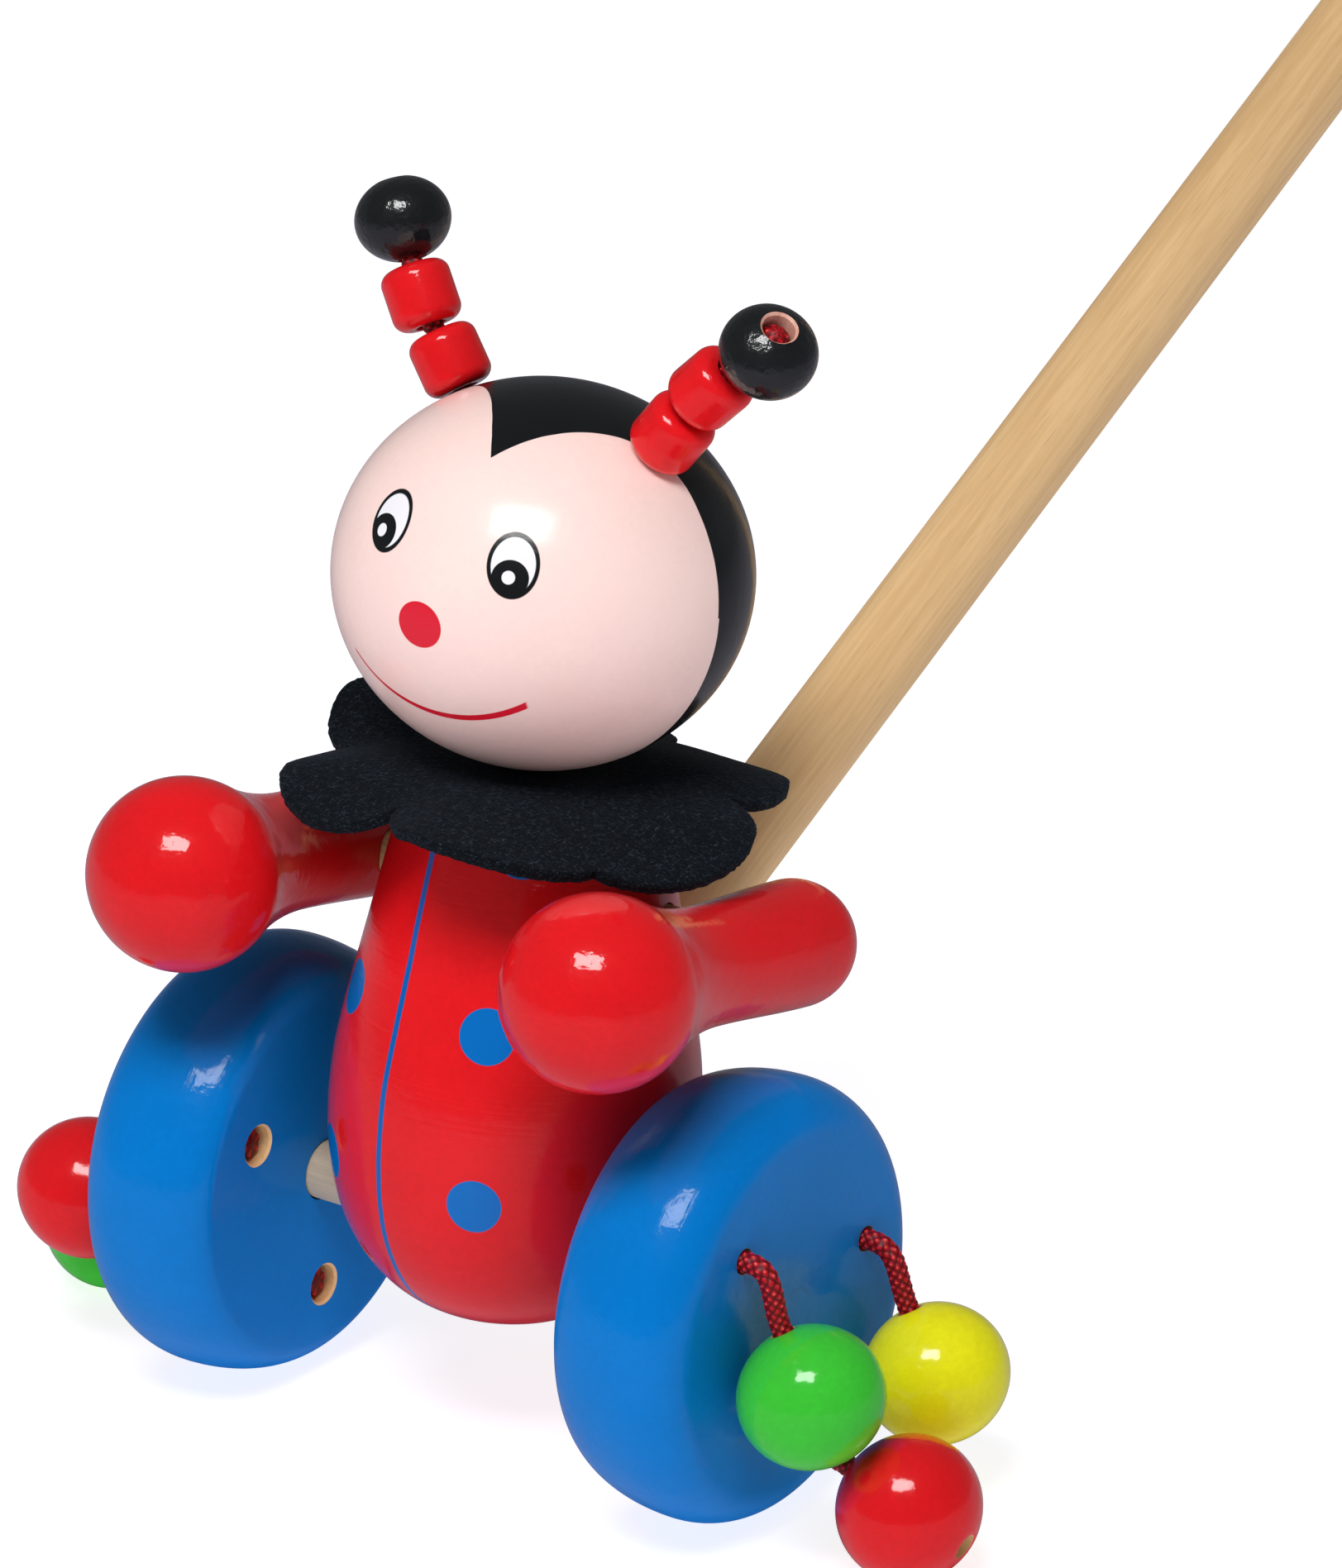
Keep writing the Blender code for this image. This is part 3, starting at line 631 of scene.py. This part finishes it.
def body_radius(height):
    if height < BELLY_HEIGHT:
        share = (BELLY_HEIGHT - height) / (BELLY_HEIGHT - BODY_BOTTOM)
        return BELLY_RADIUS * max(0.0, 1 - share**BOTTOM_POWER) ** (1 / BOTTOM_POWER)
    return BELLY_RADIUS - SHOULDER_SLOPE * (eased(height) - eased(BELLY_HEIGHT))


def make_body():
    edge_height = BODY_TOP - BODY_EDGE
    edge_radius = body_radius(edge_height)
    profile = [(0.0, BODY_TOP)]
    profile += arc((edge_radius - BODY_EDGE, edge_height), (BODY_EDGE, BODY_EDGE), pi / 2, 0.0, 10)
    for i in range(1, 41):
        height = edge_height + (BELLY_HEIGHT - edge_height) * i / 40
        profile.append((body_radius(height), height))
    for i in range(1, 60):
        height = BELLY_HEIGHT + (BODY_BOTTOM - BELLY_HEIGHT) * sin(i * pi / 120)
        profile.append((body_radius(height), height))
    profile.append((0.0, BODY_BOTTOM))
    across = Matrix.Rotation(pi / 2, 4, "Y")
    shoulder = Vector(JOINTS["arms_swing"]["pos_m"])
    past = BELLY_RADIUS + CUT_PAST
    cutters = [
        (cylinder(AXLE_RUNNING_HOLE, -past, past), Matrix.Translation(AXLE) @ across),
        (cylinder(DOWEL_HOLE, -past, past), Matrix.Translation(shoulder) @ across),
        (cylinder(DOWEL_HOLE, NECK_BORE_BOTTOM, BODY_TOP + CUT_PAST), BODY_MATRIX),
        (cylinder(STICK_RADIUS + GAP, STICK_START - GAP, 2 * BELLY_RADIUS + CUT_PAST), stick_matrix()),
    ]
    mesh = lathe("body", profile, 160)
    mesh.materials.append(body_paint())
    mesh = carved(mesh, BODY_MATRIX, cutters)
    show("body_shell", mesh, BODY_MATRIX, None, "toy", "red_lacquer", "body")


def make_head():
    share = (HEAD_FLAT - HEAD_CENTRE.z) / HEAD_HALF_HEIGHT
    low = atan2(share, sqrt(1 - share**2))
    profile = arc((0.0, 0.0), (HEAD_RADIUS, HEAD_HALF_HEIGHT), pi / 2, low, 90)
    profile[0] = (0.0, HEAD_HALF_HEIGHT)
    flat = HEAD_FLAT - HEAD_CENTRE.z
    bore_end = flat + NECK_BORE_IN_HEAD
    profile += [(DOWEL_HOLE, flat), (DOWEL_HOLE, bore_end), (0.0, bore_end)]
    mesh = lathe("head", profile, 160)
    matrix = BODY_MATRIX @ Matrix.Translation(HEAD_CENTRE)
    show("head_ball", mesh, matrix, face_paint(), "toy", "face_lacquer", "head")


def stick_matrix():
    return (
        Matrix.Translation(AXLE + Vector((0.0, 0.0, STICK_HEIGHT)))
        @ Matrix.Rotation(STICK_SLOPE - pi / 2, 4, "X")
    )


def make_stick():
    """The bare stick, and the round knob on its end."""
    length = (Vector((0.0, 0.0, 0.0)) - AXLE - Vector((0.0, 0.0, STICK_HEIGHT))).length
    start = STICK_START
    end = length - STICK_SHORT
    edge = 0.6 * MM
    profile = [(0.0, end), (STICK_RADIUS - edge, end), (STICK_RADIUS, end - edge)]
    profile += [(STICK_RADIUS, end + (start - end) * i / 120) for i in range(2, 120)]
    profile += [(STICK_RADIUS, start + edge), (STICK_RADIUS - edge, start), (0.0, start)]
    mesh = lathe("stick", profile, 96)
    wood = bare_wood("stick_wood", (1.0, 1.0, 0.045))
    show("stick_rod", mesh, stick_matrix(), wood, "toy", "bare_wood", "stick")
    centre = length - KNOB_CENTRE_BACK
    bore = STICK_RADIUS + GAP
    top = atan2(KNOB_CENTRE_BACK, sqrt(KNOB_RADIUS**2 - KNOB_CENTRE_BACK**2))
    low = atan2(-sqrt(KNOB_RADIUS**2 - bore**2), bore)
    profile = [(0.0, length)]
    profile += arc((0.0, centre), (KNOB_RADIUS, KNOB_RADIUS), top, low, 60)
    profile += [(bore, end + GAP), (0.0, end + GAP)]
    mesh = lathe("knob", profile, 128)
    paint = lacquer("knob_lacquer", RED)
    show("knob_ball", mesh, stick_matrix(), paint, "toy", "red_lacquer", "handle_knob")


def arm_profile():
    end = HAND_TO_SHOULDER - ARM_LENGTH
    across = WRIST_RADIUS + WRIST_FILLET
    reach = HAND_RADIUS + WRIST_FILLET
    along = sqrt(reach**2 - across**2)
    turn = atan2(across, along)
    hand = HAND_TO_SHOULDER
    profile = arc((0.0, end), (ELBOW_RADIUS, -ELBOW_RADIUS), pi / 2, 0.0, 24)
    wrist = hand - along
    for i in range(1, 20):
        share = i / 20
        eased_share = share * share * (3 - 2 * share)
        radius = ELBOW_RADIUS + (WRIST_RADIUS - ELBOW_RADIUS) * eased_share
        profile.append((radius, end + (wrist - end) * share))
    profile += arc((across, wrist), (-WRIST_FILLET, WRIST_FILLET), 0.0, pi / 2 - turn, 14)
    profile += arc((0.0, hand), (HAND_RADIUS, HAND_RADIUS), turn - pi / 2, pi / 2, 50)[1:]
    profile[0] = (0.0, end - ELBOW_RADIUS)
    profile[-1] = (0.0, hand + HAND_RADIUS)
    return [(radius, -height) for radius, height in profile]


def make_arms():
    shoulder = Vector(JOINTS["arms_swing"]["pos_m"])
    for side, sign in (("left", -1), ("right", 1)):
        direction = (0.0, cos(ARM_SLOPE), -sin(ARM_SLOPE))
        matrix = aimed(shoulder + Vector((sign * ARM_X, 0.0, 0.0)), direction)
        hole = (cylinder(DOWEL_HOLE, 0.0, ARM_X + 2.3 * MM), aimed(shoulder, (sign, 0.0, 0.0)))
        mesh = lathe("arm", arm_profile(), 112)
        mesh.materials.append(lacquer("arm_lacquer_" + side, RED, 2.6, 0.09))
        mesh = carved(mesh, matrix, [hole])
        show("arm_club_" + side, mesh, matrix, None, "arms", "red_lacquer", "arm_" + side)


def wheel_profile():
    outer = WHEEL_RADIUS - OUTER_FACE_RADIUS
    inner = WHEEL_RADIUS - INNER_FACE_RADIUS
    profile = [(0.0, WHEEL_OUTER_X), (OUTER_FACE_RADIUS * 0.5, WHEEL_OUTER_X)]
    centre = (OUTER_FACE_RADIUS, WHEEL_RING_X)
    profile += arc(centre, (outer, WHEEL_OUTER_X - WHEEL_RING_X), pi / 2, 0.0, 26)
    centre = (INNER_FACE_RADIUS, WHEEL_RING_X)
    profile += arc(centre, (inner, WHEEL_RING_X - WHEEL_INNER_X), 0.0, -pi / 2, 32)[1:]
    profile += [(INNER_FACE_RADIUS * 0.5, WHEEL_INNER_X), (AXLE_HOLE, WHEEL_INNER_X)]
    profile += [(AXLE_HOLE, AXLE_HOLE_END), (0.0, AXLE_HOLE_END)]
    return profile


def make_wheels():
    step = WHEEL_INNER_X + KNOT_BORE_DEPTH
    far = WHEEL_OUTER_X + 5.0 * MM
    near = WHEEL_INNER_X - 5.0 * MM
    lip = 0.4 * MM
    profile = [(0.0, far), (HOLE_RADIUS, far), (HOLE_RADIUS, step), (KNOT_BORE_RADIUS, step)]
    profile += [(KNOT_BORE_RADIUS, WHEEL_INNER_X + lip), (KNOT_BORE_RADIUS + lip, WHEEL_INNER_X)]
    profile += [(KNOT_BORE_RADIUS + lip, near), (0.0, near)]
    wood = bare_wood("hole_wood", (0.06, 1.0, 1.0))
    for side, sign in (("left", -1), ("right", 1)):
        matrix = aimed(AXLE, (sign, 0.0, 0.0))
        cutters = []
        for name, place in HOLES.items():
            if side in name:
                cutter = lathe("cutter", profile, 48)
                cutter.materials.append(wood)
                level = Vector((AXLE.x, place.y, place.z))
                cutters.append((cutter, aimed(level, (sign, 0.0, 0.0))))
        mesh = lathe("wheel", wheel_profile(), 160)
        mesh.materials.append(wheel_paint(side))
        mesh = carved(mesh, matrix, cutters)
        show("wheel_drum_" + side, mesh, matrix, None, "axle_and_wheels", "blue_lacquer", "wheel_" + side)


def wheel_paint(side):
    """Blue over a lathe's fine rings, with a trace of the plugged centre hole."""
    paint = Paint("wheel_lacquer_" + side)
    x, y, z = paint.axes()
    reach = paint.vector("LENGTH", paint.joined(x, y, 0.0))
    off_plug = paint.math("ABSOLUTE", paint.math("SUBTRACT", reach, 4.2 * MM))
    outer = paint.math("GREATER_THAN", z, WHEEL_RING_X)
    trace = paint.math("MULTIPLY", paint.ramp(off_plug, 0.0, 0.5 * MM, 0.35, 0.0), outer)
    colour = paint.mix(trace, toned(paint, BLUE, 0.06), shaded(BLUE, 0.55))
    lacquer_finish(paint, colour, 2.4, 0.10, 2.4, 0.45)
    return paint.material


# ---------------------------------------------------------------- beads and cords


def bezier(t, points):
    weights = ((1 - t) ** 3, 3 * t * (1 - t) ** 2, 3 * t * t * (1 - t), t**3)
    return sum((w * p for w, p in zip(weights, points)), Vector())


def straight(start, end, spacing):
    count = max(2, ceil((end - start).length / spacing))
    return [start.lerp(end, i / count) for i in range(count + 1)]


def cord_route(start, exit_point, direction, entry, end, spacing):
    """Straight out of the hole, round to the bead in one smooth bend, and into it."""
    outwards = (exit_point - start).normalized()
    reach = (entry - exit_point).length * 0.45
    bend = [exit_point, exit_point + outwards * reach, entry - direction * reach, entry]
    count = max(3, ceil((entry - exit_point).length / spacing))
    route = straight(start, exit_point, spacing)
    route += [bezier(i / count, bend) for i in range(1, count)]
    return route + straight(entry, end, spacing)


def frames_along(route):
    """For each point, its two cross directions, carried along without twist."""
    frames = []
    side = None
    for i in range(len(route)):
        ahead = route[min(i + 1, len(route) - 1)] - route[max(i - 1, 0)]
        ahead.normalize()
        if side is None:
            side = ahead.orthogonal().normalized()
        side = (side - ahead * side.dot(ahead)).normalized()
        frames.append((side.copy(), ahead.cross(side)))
    return frames


def strand_height(along, angle):
    """How far the braid's surface stands out there, from 0 to 1: strands cross over and under."""
    right = along / BRAID_PITCH + angle * BRAID_STRANDS / (2 * pi)
    left = along / BRAID_PITCH - angle * BRAID_STRANDS / (2 * pi)
    over = (floor(right) + floor(left)) % 2 == 0
    across = right if over else left
    lengthwise = left if over else right
    return sin(pi * (across % 1.0)) ** 0.8 * (0.35 + 0.65 * sin(pi * (lengthwise % 1.0)))


def braided_tube(name, route, radius, width_at, sides=56):
    """A tube whose skin is the braid. width_at gives its swell at a distance along it."""
    frames = frames_along(route)
    shape = bmesh.new()
    layer = shape.verts.layers.float.new("strand_height")
    rings = []
    along = 0.0
    for i, (point, (across, upright)) in enumerate(zip(route, frames)):
        along += (point - route[i - 1]).length if i else 0.0
        ring = []
        for j in range(sides):
            angle = 2 * pi * j / sides
            lift = strand_height(along, angle)
            reach = radius * width_at(along) * (0.84 + 0.17 * lift)
            vert = shape.verts.new(point + (across * cos(angle) + upright * sin(angle)) * reach)
            vert[layer] = lift
            ring.append(vert)
        rings.append(ring)
    for first, second in zip(rings, rings[1:]):
        for j in range(sides):
            k = (j + 1) % sides
            shape.faces.new((first[j], first[k], second[k], second[j]))
    for ring, point in ((rings[0], route[0]), (rings[-1], route[-1])):
        hub = shape.verts.new(point)
        for j in range(sides):
            shape.faces.new((ring[j], ring[(j + 1) % sides], hub))
    bmesh.ops.recalc_face_normals(shape, faces=shape.faces)
    for face in shape.faces:
        face.smooth = True
    mesh = bpy.data.meshes.new(name)
    shape.to_mesh(mesh)
    shape.free()
    return mesh


def length_of(route):
    return sum((b - a).length for a, b in zip(route, route[1:]))


def knot_swell(along):
    """The cord's end is a tight knot, then it narrows to its own width."""
    middle_at = KNOT_RADIUS
    off = (along - middle_at) / (KNOT_RADIUS * 1.15)
    if abs(off) >= 1:
        return 1.0 if along > middle_at else 0.8
    return 1.0 + (KNOT_RADIUS / CORD_RADIUS - 1.0) * sqrt(1 - off * off)


def make_beads(cord_material):
    for side, colour, direction in BEADS:
        sign = 1 if side == "right" else -1
        name = side + "_" + colour
        hinge = HOLES["bead_hang_" + name]
        hinge = Vector((AXLE.x, hinge.y, hinge.z))
        flip = Vector((sign, 1.0, 1.0))
        axis = (Vector(direction) * flip).normalized()
        centre = middle("bead_" + name)
        body = "bead_and_cord_" + name
        mesh = lathe("bead", bead_profile(BEAD_RADIUS, BEAD_HALF_HEIGHT, BEAD_HOLE, 56), 96, ring=True)
        mesh.materials.append(lacquer("bead_lacquer_" + name, PAINTS[colour], 2.0, 0.10))
        mesh.materials.append(bare_wood("bead_wood_" + name, (1.0, 1.0, 0.1)))
        for face in mesh.polygons:
            if hypot(face.center.x, face.center.y) < BEAD_HOLE + 0.15 * MM:
                face.material_index = 1
        slot = colour + "_lacquer"
        bead = show("bead_ball_" + name, mesh, aimed(centre, -axis), None, body, slot, "bead_" + name)
        route = cord_route(
            hinge + Vector((sign * KNOT_X, 0.0, 0.0)),
            hinge + Vector((sign * (WHEEL_OUTER_X + MM), 0.0, 0.0)),
            axis,
            centre - axis * BEAD_HALF_HEIGHT,
            centre + axis * (BEAD_HALF_HEIGHT - CORD_STOP),
            0.16 * MM,
        )
        mesh = braided_tube("cord", route, CORD_RADIUS, knot_swell)
        cord = show("cord_braid_" + name, mesh, Matrix(), cord_material, body, "red_cord", "cord_" + name)


def barrel_profile():
    straight = BARREL_HALF_HEIGHT - BARREL_EDGE
    across = BARREL_RADIUS - BARREL_EDGE
    lip = 0.3 * MM
    top = BARREL_HALF_HEIGHT
    profile = arc((across, straight), (BARREL_EDGE, BARREL_EDGE), pi / 2, 0.0, 12)
    profile += arc((across, -straight), (BARREL_EDGE, BARREL_EDGE), 0.0, -pi / 2, 12)
    profile += [(BARREL_HOLE + lip, -top), (BARREL_HOLE, -top + lip), (BARREL_HOLE, top - lip)]
    profile.append((BARREL_HOLE + lip, top))
    return profile


def antenna_ball(side, ball, mouth, string, wood):
    """A flattened ball. The string comes up into it, and its end is pressed in at the wider mouth."""
    mesh = lathe("ball", arc((0.0, 0.0), (BALL_RADIUS, BALL_HALF_HEIGHT), pi / 2, -pi / 2, 80), 112)
    mesh.materials.append(black_lacquer("ball_lacquer_" + side))
    reach = BALL_RADIUS + 2.0 * MM
    skin = BALL_HALF_HEIGHT * sqrt(1 - (BALL_MOUTH / BALL_RADIUS) ** 2)
    lip = 0.55 * MM
    profile = [(0.0, reach), (BALL_MOUTH + 2 * lip, reach), (BALL_MOUTH + lip, skin)]
    profile += [(BALL_MOUTH, skin - lip), (BALL_MOUTH, -MM), (0.0, -MM)]
    matrix = aimed(ball, mouth)
    well = lathe("well", profile, 64)
    bore = cylinder(BALL_HOLE, -reach, 1.5 * MM)
    for cutter in (well, bore):
        cutter.materials.append(wood)
    mesh = carved(mesh, matrix, [(well, matrix), (bore, aimed(ball, string))])
    body = "antenna_" + side
    show("ball_bead_" + side, mesh, matrix, None, body, "black_lacquer", "antenna_ball_" + side)


def pressed_end(length):
    """The swell of an antenna's cord: its own width, then a round knot at its end."""
    knot = 2.45 * MM / CORD_RADIUS

    def width_at(along):
        off = (along - length + 2.3 * MM) / (2.3 * MM)
        if off <= -1:
            return 1.0
        round_off = sqrt(max(0.004, 1 - off * off))
        return max(1.0, knot * round_off) if off < 0 else knot * round_off

    return width_at


def make_antennae(cord_material):
    wood = bare_wood("mouth_wood", (1.0, 1.0, 0.1), MOUTH_WOOD_LIGHT, MOUTH_WOOD_DARK)
    for side, mouth in BALL_MOUTH_WAYS.items():
        body = "antenna_" + side
        mouth = Vector(mouth).normalized()
        lower = middle("barrel_lower_" + side)
        upper = middle("barrel_upper_" + side)
        ball = middle("antenna_ball_" + side)
        lower_axis = (upper - lower).normalized()
        upper_axis = (ball - lower).normalized()
        ball_axis = (ball - upper).normalized()
        for level, place, axis in (("lower", lower, lower_axis), ("upper", upper, upper_axis)):
            name = "%s_%s" % (level, side)
            paint = lacquer("barrel_lacquer_" + name, RED, 0.8)
            mesh = lathe("barrel", barrel_profile(), 72, ring=True)
            matrix = aimed(place, axis)
            show("barrel_bead_" + name, mesh, matrix, paint, body, "red_lacquer", "barrel_" + name)
        antenna_ball(side, ball, mouth, ball_axis, wood)
        points = [lower - lower_axis * (BARREL_HALF_HEIGHT + 0.3 * MM)]
        for place, axis in ((lower, lower_axis), (upper, upper_axis)):
            points.append(place - axis * BARREL_HALF_HEIGHT * 0.7)
            points.append(place + axis * BARREL_HALF_HEIGHT * 0.7)
        points.append(ball - ball_axis * BALL_HALF_HEIGHT * 0.8)
        points.append(ball)
        points.append(ball + mouth * BALL_HALF_HEIGHT * 0.8)
        route = []
        for first, last in zip(points, points[1:]):
            count = max(2, ceil((last - first).length / (0.22 * MM)))
            route += [first.lerp(last, i / count) for i in range(count)]
        route.append(points[-1])
        mesh = braided_tube("antenna_cord", route, CORD_RADIUS, pressed_end(length_of(route)))
        cord = "antenna_cord_" + side
        show("antenna_braid_" + side, mesh, Matrix(), cord_material, body, "red_cord", cord)


# ---------------------------------------------------------------- collar


def petal_edge(steps):
    """Round the collar: (angle, edge radius), with a spot on each cusp. The edge is a little frayed."""
    spots = []
    following = CUSPS[1:] + ((CUSPS[0][0] + 360.0, CUSPS[0][1]),)
    for (start, low), (end, high) in zip(CUSPS, following):
        for i in range(steps):
            aside = sin((i / steps - 0.5) * pi)
            notch = ((low + high) / 2 + (high - low) / 2 * aside) * MM
            radius = notch + (PETAL_TIP - notch) * (1 - aside**2) ** 0.65
            fray = sin((len(spots) + 1) * 12.9898) * 43758.5453 % 1.0 - 0.5
            angle = radians((start + end) / 2 + (end - start) / 2 * aside)
            spots.append((angle, radius + COLLAR_FRAY * fray))
    return spots


def ripple(angle):
    """The felt's height at the petal tips' radius, in that direction."""
    first = RIPPLES[0]
    turn = (angle / radians(1.0) - first[0]) % 360.0 + first[0]
    following = RIPPLES[1:] + ((first[0] + 360.0, first[1]),)
    for (start, low), (end, high) in zip(RIPPLES, following):
        if turn <= end:
            share = (turn - start) / (end - start)
            return (low + (high - low) * share * share * (3 - 2 * share)) * MM
    return first[1] * MM


def collar_point(spot, share):
    """A point half-way through the felt, at a share of the way from its hole to its edge."""
    angle, edge = spot
    radius = COLLAR_HOLE + (edge - COLLAR_HOLE) * share
    fall = max(0.0, (radius - COLLAR_FLAT) / (PETAL_TIP - COLLAR_FLAT)) ** 1.4
    height = COLLAR_HEIGHT + (ripple(angle) - COLLAR_HEIGHT) * fall
    return Vector((radius * sin(angle), -radius * cos(angle), height))


def make_collar():
    rings = 60
    spots = petal_edge(84)
    shape = bmesh.new()
    grid = []
    for i in range(rings + 1):
        share = (i / rings) ** 0.8
        grid.append([shape.verts.new(collar_point(spot, share)) for spot in spots])
    area = 0.0
    for inner, outer in zip(grid, grid[1:]):
        for j in range(len(spots)):
            k = (j + 1) % len(spots)
            area += shape.faces.new((inner[j], outer[j], outer[k], inner[k])).calc_area()
    bmesh.ops.recalc_face_normals(shape, faces=shape.faces)
    mesh = bpy.data.meshes.new("collar")
    shape.to_mesh(mesh)
    shape.free()
    for face in mesh.polygons:
        face.use_smooth = True
    collar = show("felt_collar", mesh, BODY_MATRIX, felt(), "toy", "black_felt", "collar")
    solidify = collar.modifiers.new("Thickness", "SOLIDIFY")
    solidify.thickness = COLLAR_THICKNESS
    solidify.offset = 0.0


def finish_dowels():
    """The dowels and the axle keep their CAD shapes. Their bare wood's grain runs along each of them."""
    level = (0.06, 1.0, 1.0)
    upright = (1.0, 1.0, 0.06)
    for node, along, light, dark in (
        ("axle", level, AXLE_WOOD_LIGHT, AXLE_WOOD_DARK),
        ("shoulder_dowel", level, WOOD_LIGHT, WOOD_DARK),
        ("neck_dowel", upright, WOOD_LIGHT, WOOD_DARK),
    ):
        slots = frame["nodes"][node].data.materials
        slots.clear()
        slots.append(bare_wood(node + "_wood", along, light, dark))


# ---------------------------------------------------------------- studio


def area_light(name, place, target, size, power, colour=(1.0, 1.0, 1.0), glossy=True):
    data = bpy.data.lights.new(name, "AREA")
    data.shape = "RECTANGLE"
    data.size, data.size_y = size
    data.energy = power
    data.color = colour
    light = bpy.data.objects.new(name, data)
    bpy.context.scene.collection.objects.link(light)
    light.matrix_world = aimed(place, place - target)
    light.visible_glossy = glossy


def make_studio():
    target = AXLE + Vector((0.0, 0.0, 50.0 * MM))
    mesh = bpy.data.meshes.new("floor")
    half = 4.0
    corners = ((-half, -half), (half, -half), (half, half), (-half, half))
    mesh.from_pydata([(x, y, CAD_BOUNDS[0][2]) for x, y in corners], [], [(0, 1, 2, 3)])
    floor = bpy.data.objects.new("floor", mesh)
    bpy.context.scene.collection.objects.link(floor)
    paint = Paint("floor_paper")
    in_gloss = paint.nodes.new("ShaderNodeLightPath").outputs["Is Glossy Ray"]
    paint.set(Base_Color=(0.42, 0.41, 0.47, 1.0), Roughness=0.9, Specular_IOR_Level=0.05)
    glow = paint.ramp(in_gloss, 0.0, 1.0, 0.82, 0.0)
    paint.set(Emission_Color=(1.0, 1.0, 1.0, 1.0), Emission_Strength=glow)
    mesh.materials.append(paint.material)
    area_light("key", target + Vector((0.20, -0.61, 1.02)), target, (0.62, 0.36), 12.0)
    area_light("fill", target + Vector((-1.2, -0.9, 1.0)), target, (1.6, 1.6), 3.0, glossy=False)
    area_light("top", target + Vector((0.3, 0.3, 1.8)), target, (2.4, 2.4), 5.0, glossy=False)
    world = bpy.data.worlds.new("studio")
    world.use_nodes = True
    background = world.node_tree.nodes["Background"]
    background.inputs["Color"].default_value = (0.9, 0.92, 0.95, 1.0)
    background.inputs["Strength"].default_value = 0.12
    bpy.context.scene.world = world


bpy.context.scene.view_settings.view_transform = "Standard"
make_camera()
make_beads(braid())
make_body()
make_head()
make_collar()
make_arms()
make_wheels()
make_stick()
make_antennae(braid())
finish_dowels()
make_studio()
